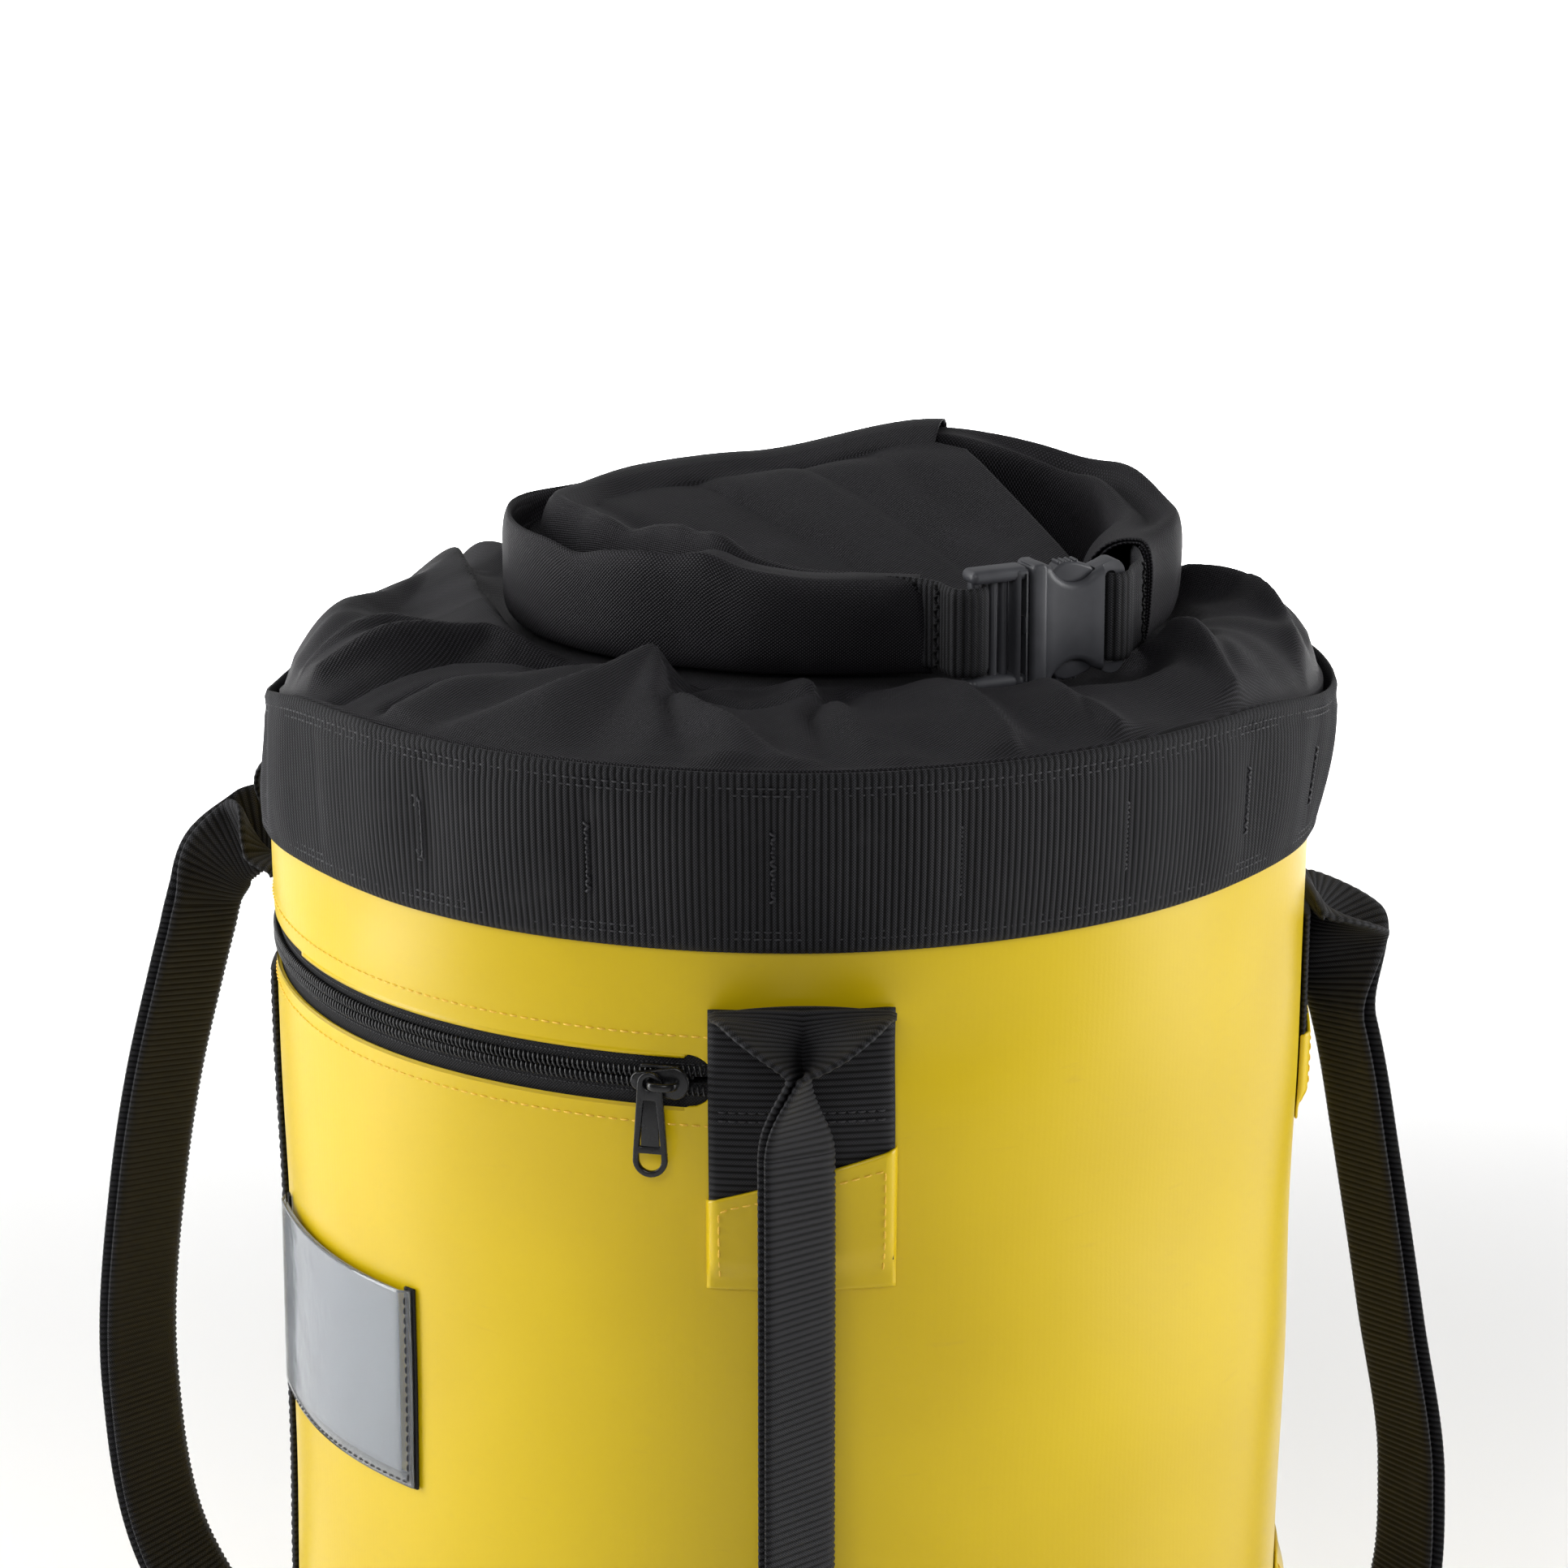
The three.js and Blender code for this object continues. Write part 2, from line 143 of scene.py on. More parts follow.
def signed_power(values, power):
    """Values raised to a power, with their signs kept: it squares off a circle or flattens it."""
    return np.sign(values) * np.abs(values) ** power


def build(name, points, faces, material, uv=None):
    """A new smooth-shaded object from points and faces, with one material."""
    mesh = bpy.data.meshes.new(name)
    mesh.from_pydata(np.asarray(points, float).reshape(-1, 3).tolist(), [], faces)
    if uv is not None:
        loops = np.zeros(len(mesh.loops), int)
        mesh.loops.foreach_get("vertex_index", loops)
        layer = mesh.uv_layers.new(name="cloth")
        layer.data.foreach_set("uv", np.asarray(uv, float).reshape(-1, 2)[loops].ravel())
    return placed_mesh(name, mesh, material)


def placed_mesh(name, mesh, material, sharp=None):
    """The mesh as a smooth object in the scene, with sharp edges kept above an angle in degrees."""
    mesh.shade_smooth()
    if sharp is not None:
        mesh.set_sharp_from_angle(angle=math.radians(sharp))
    mesh.materials.append(material)
    piece = bpy.data.objects.new(name, mesh)
    bpy.context.scene.collection.objects.link(piece)
    return piece


def grid_faces(rows, columns, wrap_rows=False, wrap_columns=False):
    """Quads of a grid of points, numbered row by row."""
    i, j = np.meshgrid(
        np.arange(rows if wrap_rows else rows - 1),
        np.arange(columns if wrap_columns else columns - 1),
        indexing="ij",
    )
    i, j = i.ravel(), j.ravel()
    up, right = (i + 1) % rows, (j + 1) % columns
    quads = np.stack([i * columns + j, up * columns + j, up * columns + right, i * columns + right], 1)
    return quads.tolist()


def fence(path, heights):
    """A grid that stands on a plan path, with a row of points at each height."""
    return np.stack([np.column_stack([path, np.full(len(path), height)]) for height in heights], axis=1)


def cloth_measures(grid):
    """Distances along and across a grid of points, as texture coordinates in metres."""
    steps = [np.linalg.norm(np.diff(grid, axis=axis), axis=2).mean(1 - axis) for axis in (0, 1)]
    along, across = [np.concatenate([[0], np.cumsum(step)]) for step in steps]
    return np.stack(np.meshgrid(along, across, indexing="ij"), axis=2)


def plan_measures(grid):
    """Plan places in metres for cloth that mostly lies flat, let out where it is steep."""
    return grid[..., :2] + 0.7 * grid[..., 2:]


def grid_normals(grid, closed=False):
    """Unit normals of a grid of points; a closed one joins its last row to its first."""
    if closed:
        along = np.roll(grid, -1, axis=0) - np.roll(grid, 1, axis=0)
    else:
        along = np.gradient(grid, axis=0)
    return unit(np.cross(along, np.gradient(grid, axis=1)))


def strip(name, middle, thickness, material, closed=False, rib=0.0, rib_height=0.5 * MM, groove=None):
    """A closed solid strip about a grid of points, with rounded edges and, where rib is a pitch, raised
    ribs across it. groove lists the distances from the edges where stitching pulls it in."""
    rows, columns = middle.shape[:2]
    normals = grid_normals(middle, closed)
    measures = cloth_measures(middle)
    across = measures[:, :, 1]
    from_edge = np.minimum(across, across[:, -1:] - across)
    half = thickness / 2 * np.sqrt(np.clip(from_edge / (0.7 * thickness), 0.12, 1))
    if rib:
        wave = np.abs(np.sin(math.pi * measures[:, :, 0] / rib)) - 0.5
        half = half + rib_height * wave * (0.35 + 0.65 * smoothstep(0, 2.5 * MM, from_edge))
    for line in groove or []:
        half = half - 0.3 * MM * np.exp(-(((from_edge - line) / (0.7 * MM)) ** 2))
    ring = np.concatenate(
        [middle + normals * half[..., None], (middle - normals * half[..., None])[:, ::-1]], axis=1
    )
    uv = np.concatenate([measures, measures[:, ::-1]], axis=1)
    faces = grid_faces(rows, 2 * columns, closed, True)
    if not closed:
        for row, step in ((0, 1), (rows - 1, -1)):
            top = [row * 2 * columns + j for j in range(columns)]
            foot = [row * 2 * columns + 2 * columns - 1 - j for j in range(columns)]
            for j in range(columns - 1):
                faces.append([top[j], top[j + 1], foot[j + 1], foot[j]][::step])
    return build(name, ring, faces, material, uv)


# A thread loop's rings: place along it, thickness, and height above the cloth in radii.
STITCH_RINGS = [(-0.5, 0.35, -0.9), (-0.3, 0.9, 0.1), (0, 1, 0.35), (0.3, 0.9, 0.1), (0.5, 0.35, -0.9)]


def stitches(name, seams, material, pitch=3.3 * MM, share=0.78, radius=0.28 * MM):
    """One mesh of small thread loops along seams, each a pair of a path and its outward normals. share
    is how much of the pitch a loop takes up."""
    sides = 6
    turn = np.arange(sides) * 2 * math.pi / sides
    points, faces = [], []
    template = np.array(grid_faces(len(STITCH_RINGS), sides, False, True))
    for path, outward in seams:
        line = resampled(np.concatenate([path, outward], axis=1), pitch)
        centre = (line[1:, :3] + line[:-1, :3]) / 2
        run = line[1:, :3] - line[:-1, :3]
        up = unit(line[1:, 3:] + line[:-1, 3:])
        side = unit(np.cross(run, up))
        rings = []
        for along, size, lift in STITCH_RINGS:
            spot = centre + run * along * share + up * radius * lift
            for angle in turn:
                rings.append(spot + radius * size * (side * math.cos(angle) + up * math.sin(angle)))
        loops = np.stack(rings, axis=1)
        for loop in loops:
            faces.extend((template + len(points) * loops.shape[1]).tolist())
            points.append(loop)
    return build(name, np.array(points), faces, material)


def part_of_grid(name, grid, faces, material):
    """A piece made of some of a grid's faces, without the points that no face is left on."""
    piece = build(name, grid, faces.tolist(), material, cloth_measures(grid))
    bm = bmesh.new()
    bm.from_mesh(piece.data)
    bmesh.ops.delete(bm, geom=[v for v in bm.verts if not v.link_faces], context="VERTS")
    bm.to_mesh(piece.data)
    bm.free()
    return piece


def keep(piece, body, slot, *nodes):
    """Rides a finished piece on its body and hides the CAD nodes it stands for; its slot is not used."""
    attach(piece, body)
    if nodes:
        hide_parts(*nodes)
    return piece


def thicken(piece, thickness, offset=0.0):
    """Gives an open sheet its thickness."""
    solid = piece.modifiers.new("thickness", "SOLIDIFY")
    solid.thickness = thickness
    solid.offset = offset
    return piece


# ---- The wall and what is wrapped on it ----
# Shallow dents of the wall: azimuth, height and depth in millimetres, and how far each spreads, round
# the wall in degrees and up it in millimetres.
DENTS = [
    (14, 352, 1.6, 11, 16), (38, 300, 2.2, 15, 45), (63, 345, 1.2, 9, 35), (-32, 290, 1.8, 16, 30),
    (-62, 372, 0.9, 14, 10), (28, 205, 2.4, 18, 40), (-20, 150, 2.4, 22, 35), (120, 260, 2.6, 20, 50),
    (-140, 220, 2.6, 22, 55), (160, 340, 1.8, 16, 30), (-165, 120, 2.2, 20, 30), (75, 140, 2.2, 20, 40),
]
# How far the rim settles round the bag, and how far it leans in: azimuth and millimetres.
RIM_DROPS = [
    (-180, 13), (-140, 12), (-125, 15), (-110, 18), (-98, 20), (-90, 18), (-84, 15), (-78, 11),
    (-72, 7), (-66, 3), (-58, 0), (54, 0), (62, 2), (70, 7), (78, 11), (86, 13), (95, 14), (135, 14),
    (150, 15), (180, 13),
]
RIM_LEANS = [
    (-180, 4), (-110, 6), (-95, 5), (-84, 4), (-75, 2), (-60, 0), (58, 0), (70, -1.8), (82, -3.4),
    (98, -3.6), (115, -1.5), (140, 3), (180, 4),
]
WAIST = 2.2 * MM  # how far the wall draws in at mid height


def wall_relief(azimuth, height):
    """How far the wall lies outside its true cylinder: the waist and the dents make this negative."""
    relief = -WAIST * smoothstep(0.375, 0.23, height) * smoothstep(0.02, 0.12, height)
    for at, level, depth, spread, tall in DENTS:
        turn = (azimuth - at + 180) % 360 - 180
        up = (height - level * MM) / (tall * MM)
        relief = relief - depth * MM * np.exp(-((turn / spread) ** 2) - up**2)
    angle = np.radians(azimuth)
    wave = np.sin(5 * angle + 31 * height + 0.6) * np.sin(3 * angle - 47 * height + 2.0)
    return relief + 0.35 * MM * (wave - 1) * smoothstep(0.01, 0.05, height)


def on_wall(azimuth, height, lift=0.0):
    """Points at azimuths in degrees and at heights, lifted off the outside of the wall."""
    angle = np.radians(azimuth)
    lean = round_table(RIM_LEANS, azimuth) * MM * smoothstep(0.38, 0.43, height)
    radius = RADIUS + lift + wall_relief(azimuth, height) - lean
    level = height - round_table(RIM_DROPS, azimuth) * MM * smoothstep(0.345, 0.43, height)
    return np.stack([radius * np.sin(angle), -radius * np.cos(angle), level], axis=-1)


def radial(azimuth):
    """The level direction straight out of the wall."""
    angle = np.radians(azimuth)
    return np.stack([np.sin(angle), -np.cos(angle), 0 * angle], axis=-1)


def degrees_of(length):
    """How far round the wall a length reaches."""
    return math.degrees(length / RADIUS)


def around(azimuths, heights, lift=0.0):
    """A grid that runs round the bag, then up it."""
    azimuth, height = np.meshgrid(azimuths, heights, indexing="ij")
    return on_wall(azimuth, height, lift)


def upright(azimuths, heights, lift=0.0):
    """A grid that runs up the bag, then across from the larger azimuth to the smaller."""
    height, azimuth = np.meshgrid(heights, sorted(azimuths, reverse=True), indexing="ij")
    return on_wall(azimuth, height, lift)


def seam_on_wall(azimuths, heights, lift):
    """A stitched line over the wall, with its outward normals."""
    azimuths, heights = np.broadcast_arrays(azimuths, heights)
    return on_wall(azimuths, heights, lift), radial(azimuths)


# ---- Materials ----
class Look:
    """A node material on one Principled shader."""

    def __init__(self, name, colour, roughness, **constants):
        self.material = bpy.data.materials.new(name)
        self.material.use_nodes = True
        self.material.diffuse_color = (*colour, 1)
        self.tree = self.material.node_tree
        self.shader = self.tree.nodes["Principled BSDF"]
        self.put(self.shader.inputs["Base Color"], (*colour, 1))
        self.put(self.shader.inputs["Roughness"], roughness)
        for key, value in constants.items():
            self.put(self.shader.inputs[key.replace("_", " ")], value)

    def put(self, socket, value):
        if isinstance(value, bpy.types.NodeSocket):
            self.tree.links.new(value, socket)
        else:
            socket.default_value = value

    def add(self, kind, *values, **settings):
        """A node of a kind, with its settings, and its inputs in order; None leaves one as it is."""
        made = self.tree.nodes.new("ShaderNode" + kind)
        for key, value in settings.items():
            setattr(made, key, value)
        for socket, value in zip(made.inputs, values):
            if value is not None:
                self.put(socket, value)
        return made

    def math(self, operation, *values, clamp=False):
        return self.add("Math", *values, operation=operation, use_clamp=clamp).outputs[0]

    def place(self, kind):
        return self.add("TexCoord").outputs[kind]

    def noise(self, where, scale, detail=3.0, stretch=None):
        if stretch:
            where = self.add("VectorMath", where, stretch, operation="MULTIPLY").outputs[0]
        made = self.add("TexNoise", where)
        made.inputs["Scale"].default_value = scale
        made.inputs["Detail"].default_value = detail
        return made.outputs[0]

    def share(self, value, low, high):
        made = self.add("MapRange", value, low, high, 0.0, 1.0)
        made.interpolation_type = "SMOOTHSTEP"
        return made.outputs[0]

    def waves(self, where, pitch):
        """The product of two crossing waves, each of that pitch: the ups and downs of a plain weave."""
        turns = 2 * math.pi / pitch
        scaled = self.add("VectorMath", where, (turns,) * 3, operation="MULTIPLY").outputs[0]
        split = self.add("SeparateXYZ", self.add("VectorMath", scaled, operation="SINE").outputs[0])
        return self.math("MULTIPLY", split.outputs[0], split.outputs[1])

    def mixed(self, factor, first, second):
        made = self.add("Mix", data_type="RGBA")
        self.put(made.inputs[0], factor)
        self.put(made.inputs[6], first if isinstance(first, bpy.types.NodeSocket) else (*first, 1))
        self.put(made.inputs[7], second if isinstance(second, bpy.types.NodeSocket) else (*second, 1))
        return made.outputs[2]

    def colour(self, value):
        self.put(self.shader.inputs["Base Color"], value)

    def rough(self, factor, low, high):
        made = self.add("MapRange", factor, 0.0, 1.0, low, high)
        self.put(self.shader.inputs["Roughness"], made.outputs[0])

    def bump(self, height, distance, strength=1.0, under=None):
        made = self.add("Bump")
        self.put(made.inputs["Strength"], strength)
        self.put(made.inputs["Distance"], distance)
        self.put(made.inputs["Height"], height)
        if under is not None:
            self.put(made.inputs["Normal"], under)
        self.put(self.shader.inputs["Normal"], made.outputs[0])
        return made.outputs[0]


def tarpaulin():
    """Satin yellow coated fabric: the cloth under the coating just shows, with fine grain and scuffs."""
    look = Look("tarpaulin", (0.61, 0.43, 0.001), 0.3, Specular_IOR_Level=0.36)
    where = look.place("Object")
    cloud = look.noise(where, 9.0, 2.0)
    tone = look.mixed(look.share(cloud, 0.3, 0.7), (0.575, 0.40, 0.001), (0.64, 0.455, 0.0015))
    height = look.add("SeparateXYZ", where).outputs[2]
    near_foot = look.share(height, 0.05, 0.0)
    worn = look.math("MULTIPLY", near_foot, look.share(look.noise(where, 60.0, 5.0), 0.4, 0.75))
    scuffs = look.share(look.noise(where, 45.0, 6.0, stretch=(1.0, 1.0, 7.0)), 0.66, 0.8)
    dirt = look.math("MAXIMUM", worn, look.math("MULTIPLY", scuffs, 0.16))
    look.colour(look.mixed(dirt, tone, (0.42, 0.25, 0.03)))
    blotches = look.math("MULTIPLY", look.noise(where, 22.0, 4.0), 0.5)
    specks = look.math("MULTIPLY", look.noise(where, 900.0, 2.0), 0.4)
    look.rough(look.math("ADD", blotches, specks), 0.22, 0.44)
    grain = look.bump(look.noise(where, 1500.0, 2.0), 0.00003, 0.5)
    threads = look.waves(where, 2.4 * MM)
    look.bump(threads, 0.000012, 0.4, grain)
    return look.material


def webbing():
    """Matt black polyester webbing; the yarns show on its ribs, with a painted highlight on each rib crest
    and painted shade in the grooves.
    """
    look = Look("webbing", (0.010, 0.010, 0.011), 0.6, Specular_IOR_Level=0.14, Sheen_Weight=0.02)
    where = look.place("UV")
    yarns = look.waves(where, 0.72 * MM)
    cloud = look.noise(look.place("Object"), 70.0, 4.0)
    along = look.add("SeparateXYZ", where).outputs[0]
    # painted highlight on the rib crests and painted shade in the grooves, laid over the ribs' own relief;
    # the yarn dots are the webbing's pattern
    ridge = look.math("ABSOLUTE", look.math("SINE", look.math("MULTIPLY", along, math.pi / RIB_PITCH)))
    painted_crest_light = look.math("MULTIPLY", look.share(ridge, 0.25, 0.95), look.share(yarns, -0.9, 0.5))
    tone = look.mixed(painted_crest_light, (0.002, 0.002, 0.0024), (0.032, 0.032, 0.036))
    dust = look.math("MULTIPLY", look.share(cloud, 0.55, 0.8), 0.3)
    look.colour(look.mixed(dust, tone, (0.028, 0.028, 0.030)))
    look.rough(cloud, 0.5, 0.72)
    look.bump(yarns, 0.00012, 0.6)
    return look.material


def collar_fabric():
    """Charcoal woven polyester with a light dot at each crossing of its yarns."""
    look = Look("collar_fabric", (0.013, 0.012, 0.015), 0.55, Specular_IOR_Level=0.15, Sheen_Weight=0.02)
    yarns = look.waves(look.place("UV"), 1.05 * MM)
    cloud = look.noise(look.place("Object"), 40.0, 4.0)
    tone = look.mixed(look.share(yarns, 0.0, 0.9), (0.003, 0.0027, 0.0037), (0.036, 0.034, 0.041))
    dust = look.math("MULTIPLY", look.share(cloud, 0.5, 0.8), 0.25)
    look.colour(look.mixed(dust, tone, (0.032, 0.030, 0.036)))
    look.rough(cloud, 0.44, 0.62)
    look.bump(yarns, 0.00016, 0.7)
    return look.material


def buckle_plastic():
    """Dark grey moulded acetal with a fine spark-eroded texture."""
    look = Look("buckle_plastic", (0.042, 0.043, 0.050), 0.42, Specular_IOR_Level=0.45)
    where = look.place("Object")
    speckle = look.noise(where, 2600.0, 2.0)
    cloud = look.share(look.noise(where, 90.0, 3.0), 0.35, 0.7)
    look.colour(look.mixed(cloud, (0.036, 0.037, 0.043), (0.048, 0.049, 0.056)))
    look.rough(speckle, 0.34, 0.55)
    look.bump(speckle, 0.00002, 0.5)
    return look.material


def zip_tape():
    """Knitted black tape."""
    look = Look("zip_tape", (0.010, 0.010, 0.011), 0.75, Specular_IOR_Level=0.2)
    knit = look.waves(look.place("UV"), 0.9 * MM)
    look.colour(look.mixed(look.share(knit, -0.2, 0.9), (0.006, 0.006, 0.007), (0.024, 0.024, 0.026)))
    look.bump(knit, 0.00014, 0.7)
    return look.material


def zip_coil():
    """Black nylon wire, a little dusty."""
    look = Look("zip_coil", (0.012, 0.012, 0.013), 0.28)
    grime = look.noise(look.place("Object"), 800.0, 3.0)
    look.colour(look.mixed(look.share(grime, 0.4, 0.8), (0.010, 0.010, 0.011), (0.022, 0.022, 0.024)))
    look.rough(grime, 0.2, 0.42)
    return look.material


def zip_metal():
    """Black enamelled zinc, rubbed a little where it is handled."""
    look = Look("zip_metal", (0.010, 0.010, 0.011), 0.24, Metallic=0.25)
    rub = look.noise(look.place("Object"), 420.0, 5.0)
    look.colour(look.mixed(look.share(rub, 0.62, 0.8), (0.008, 0.008, 0.009), (0.045, 0.045, 0.048)))
    look.rough(rub, 0.16, 0.36)
    look.bump(rub, 0.00002, 0.3)
    return look.material


def lining():
    """Dark grey woven pocket lining."""
    look = Look("lining", (0.030, 0.031, 0.034), 0.6)
    yarns = look.waves(look.place("UV"), 1.2 * MM)
    look.colour(look.mixed(look.share(yarns, -0.5, 0.9), (0.022, 0.023, 0.026), (0.045, 0.046, 0.05)))
    look.bump(yarns, 0.00008, 0.5)
    return look.material


def stiffener_plastic():
    """Plain black plastic strip."""
    look = Look("stiffener", (0.012, 0.012, 0.013), 0.5)
    look.rough(look.noise(look.place("Object"), 300.0, 3.0), 0.4, 0.62)
    return look.material


def clear_film():
    """Clear vinyl, faintly hazy and rippled."""
    look = Look("clear_film", (0.82, 0.85, 0.88), 0.12, Transmission_Weight=0.92, IOR=1.5)
    haze = look.noise(look.place("Object"), 55.0, 3.0)
    look.rough(haze, 0.06, 0.24)
    look.bump(haze, 0.0006, 0.5)
    return look.material


def card():
    """Plain grey card, with nothing printed on it."""
    look = Look("card", (0.26, 0.27, 0.29), 0.7)
    fibres = look.noise(look.place("Object"), 700.0, 5.0)
    look.colour(look.mixed(fibres, (0.22, 0.23, 0.25), (0.32, 0.33, 0.35)))
    look.bump(fibres, 0.00004, 0.4)
    return look.material


def thread(name, colour, bright):
    """Twisted sewing thread."""
    look = Look(name, colour, 0.5, Specular_IOR_Level=0.4)
    twist = look.noise(look.place("Object"), 3200.0, 2.0)
    look.colour(look.mixed(look.share(twist, 0.35, 0.7), colour, bright))
    look.bump(twist, 0.00008, 0.6)
    return look.material


TARPAULIN = tarpaulin()
WEB = webbing()
FABRIC = collar_fabric()
PLASTIC = buckle_plastic()
TAPE = zip_tape()
COIL = zip_coil()
METAL = zip_metal()
LINING = lining()
STIFFENER = stiffener_plastic()
FILM = clear_film()
CARD = card()
YELLOW_THREAD = thread("yellow_thread", (0.72, 0.42, 0.02), (0.9, 0.62, 0.09))
BLACK_THREAD = thread("black_thread", (0.010, 0.010, 0.012), (0.036, 0.036, 0.042))


# ---- Camera, light and floor ----
CAMERA_DISTANCE = 1.5385
CAMERA_HEIGHT = 0.8331
CAMERA_PITCH = 0.285  # radians below the horizon
CAMERA_LENS = 126.95
CAMERA_SHIFT = -0.0033  # to the left, as a share of the picture's width


def add_camera():
    """The photo's camera: in front of the bag, level from side to side and looking a little down."""
    data = bpy.data.cameras.new("camera")
    data.lens = CAMERA_LENS
    data.shift_x = CAMERA_SHIFT
    camera = bpy.data.objects.new("camera", data)
    camera.location = (0, -CAMERA_DISTANCE, CAMERA_HEIGHT)
    camera.rotation_euler = (math.pi / 2 - CAMERA_PITCH, 0, 0)
    bpy.context.scene.collection.objects.link(camera)
    bpy.context.scene.camera = camera


def add_light(name, place, size, power, target=(0, 0, 0.35), spread=180):
    """A rectangular soft light that faces its target."""
    data = bpy.data.lights.new(name, "AREA")
    data.shape = "RECTANGLE"
    data.size, data.size_y = size
    data.energy = power
    data.spread = math.radians(spread)
    light = bpy.data.objects.new(name, data)
    light.location = place
    light.rotation_euler = (Vector(target) - Vector(place)).to_track_quat("-Z", "Y").to_euler()
    bpy.context.scene.collection.objects.link(light)


def add_world():
    """A studio with a white backdrop behind the bag and a dimmer room in front of it."""
    world = bpy.data.worlds.new("studio")
    world.use_nodes = True
    tree = world.node_tree
    where = tree.nodes.new("ShaderNodeTexCoord")
    split = tree.nodes.new("ShaderNodeSeparateXYZ")
    strength = tree.nodes.new("ShaderNodeMapRange")
    strength.interpolation_type = "SMOOTHSTEP"
    for name, value in {"From Min": -0.5, "From Max": 0.75, "To Min": 0.10, "To Max": 0.5}.items():
        strength.inputs[name].default_value = value
    tree.links.new(where.outputs["Generated"], split.inputs[0])
    tree.links.new(split.outputs[1], strength.inputs["Value"])
    tree.nodes["Background"].inputs[0].default_value = (1, 1, 1, 1)
    tree.links.new(strength.outputs[0], tree.nodes["Background"].inputs[1])
    bpy.context.scene.world = world
    bpy.context.scene.view_settings.view_transform = "Standard"


def add_studio():
    """Softboxes at the sides, fills above and in front, a light on the ground behind, and the floor."""
    add_world()
    add_light("left_softbox", (-1.45, 0.0, 0.65), (0.7, 1.3), 23)
    add_light("right_softbox", (1.45, -0.1, 0.65), (0.7, 1.3), 21)
    add_light("front_fill", (-0.3, -2.0, 1.5), (0.9, 0.7), 14)
    add_light("overhead", (-0.9, 0.2, 1.5), (0.8, 0.8), 5)
    add_light("backdrop", (0, 1.6, 2.2), (3.5, 1.5), 210, target=(0, 3.2, 0.0), spread=110)
    size = 6.0
    look = Look("floor", (0.93, 0.93, 0.93), 0.6)
    look.rough(look.noise(look.place("Object"), 4.0, 2.0), 0.5, 0.7)
    corners = [(-size, -size, 0), (size, -size, 0), (size, size, 0), (-size, size, 0)]
    build("floor", corners, [[0, 1, 2, 3]], look.material)


# ---- Bucket ----
def window_distance(azimuth, height):
    """How far a place on the wall is outside the round-ended zip window, less than 0 being inside, and
    its distance across and up from the nearest point of the window's middle line."""
    u = np.radians(azimuth) * RADIUS
    ends = [math.radians(ZIP_FROM) * RADIUS + ZIP_HALF, math.radians(ZIP_TO) * RADIUS - ZIP_HALF]
    nearest = np.clip(u, *ends)
    return np.hypot(u - nearest, height - ZIP_Z) - ZIP_HALF, u - nearest, height - ZIP_Z


def make_wall():
    """The tarpaulin wall: one fine sheet with its dents, opened for the zip."""
    low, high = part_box("body_wall")[0].z, BAND_FOOT + 38 * MM
    azimuths = np.concatenate([np.arange(-180, -16, 0.75), np.arange(-16, -4, 0.2), np.arange(-4, 180, 0.75)])
    zip_rows = ZIP_Z + np.arange(-11, 11.1, 0.5) * MM
    heights = np.concatenate([
        np.linspace(low, zip_rows[0], 70, endpoint=False), zip_rows, np.linspace(zip_rows[-1], high, 22)[1:],
    ])
    azimuth, height = np.meshgrid(azimuths, heights, indexing="ij")
    distance, across, up = window_distance(azimuth, height)
    snap = np.abs(distance) < 0.5 * MM  # these points are moved onto the window's edge
    size = np.maximum(np.hypot(across, up), 1e-9)
    azimuth = azimuth - np.where(snap, np.degrees(distance * across / size / RADIUS), 0)
    height = height - np.where(snap, distance * up / size, 0)
    grid = on_wall(azimuth, height)
    faces = np.array(grid_faces(*grid.shape[:2], True, False))
    corners = np.degrees(np.arctan2(grid[..., 0], -grid[..., 1])).ravel()[faces]
    middle_height = grid[..., 2].ravel()[faces].mean(1)
    outside = window_distance(corners.mean(1), middle_height)[0] > -0.05 * MM
    at_back = np.ptp(corners, axis=1) > 90  # where the azimuth jumps from 180 to -180
    wall = part_of_grid("body_wall_tarpaulin", grid, faces[outside | at_back], TARPAULIN)
    thicken(wall, 1.1 * MM, -1.0)
    keep(wall, "bag", "tarpaulin", "body_wall")


def make_base():
    """The base: a disc that crowns a little inside its binding."""
    low, high = span_of("base_panel")
    rim = RADIUS - np.array([2, 1, 0.3, 0]) * MM
    radii = np.concatenate([np.linspace(0.5 * MM, RADIUS - 4 * MM, 40), rim])
    azimuths = np.arange(0, 360, 2.0)
    radius, azimuth = np.meshgrid(radii, azimuths, indexing="ij")
    crease = 0.5 * MM * np.exp(-(((radius - RADIUS + 7 * MM) / (1.5 * MM)) ** 2))
    top = high - crease - 0.25 * MM * (1 + np.sin(5 * np.radians(azimuth)) * np.sin(radius / (17 * MM)))
    foot = low + 0.8 * MM * smoothstep(RADIUS - 9 * MM, RADIUS, radius)
    flat = radius[..., None] * radial(azimuth)
    layers = [flat + level[..., None] * [0, 0, 1] for level in (foot, top)]
    ring = np.concatenate([layers[0], layers[1][::-1]], axis=0)
    faces = grid_faces(*ring.shape[:2], True, True)
    base = build("base_disc", ring, faces, TARPAULIN, ring[..., :2])
    keep(base, "bag", "tarpaulin", "base_panel")


def round_the_bag(low, high, lift, rows):
    """Azimuths and heights of a closed grid round the bag, fine enough for the ribs of its webbing."""
    ribs = round(2 * math.pi * (RADIUS + lift) / RIB_PITCH)
    azimuths = np.arange(4 * ribs) * 360 / (4 * ribs) - 180
    return np.meshgrid(azimuths, np.linspace(low, high, rows), indexing="ij")


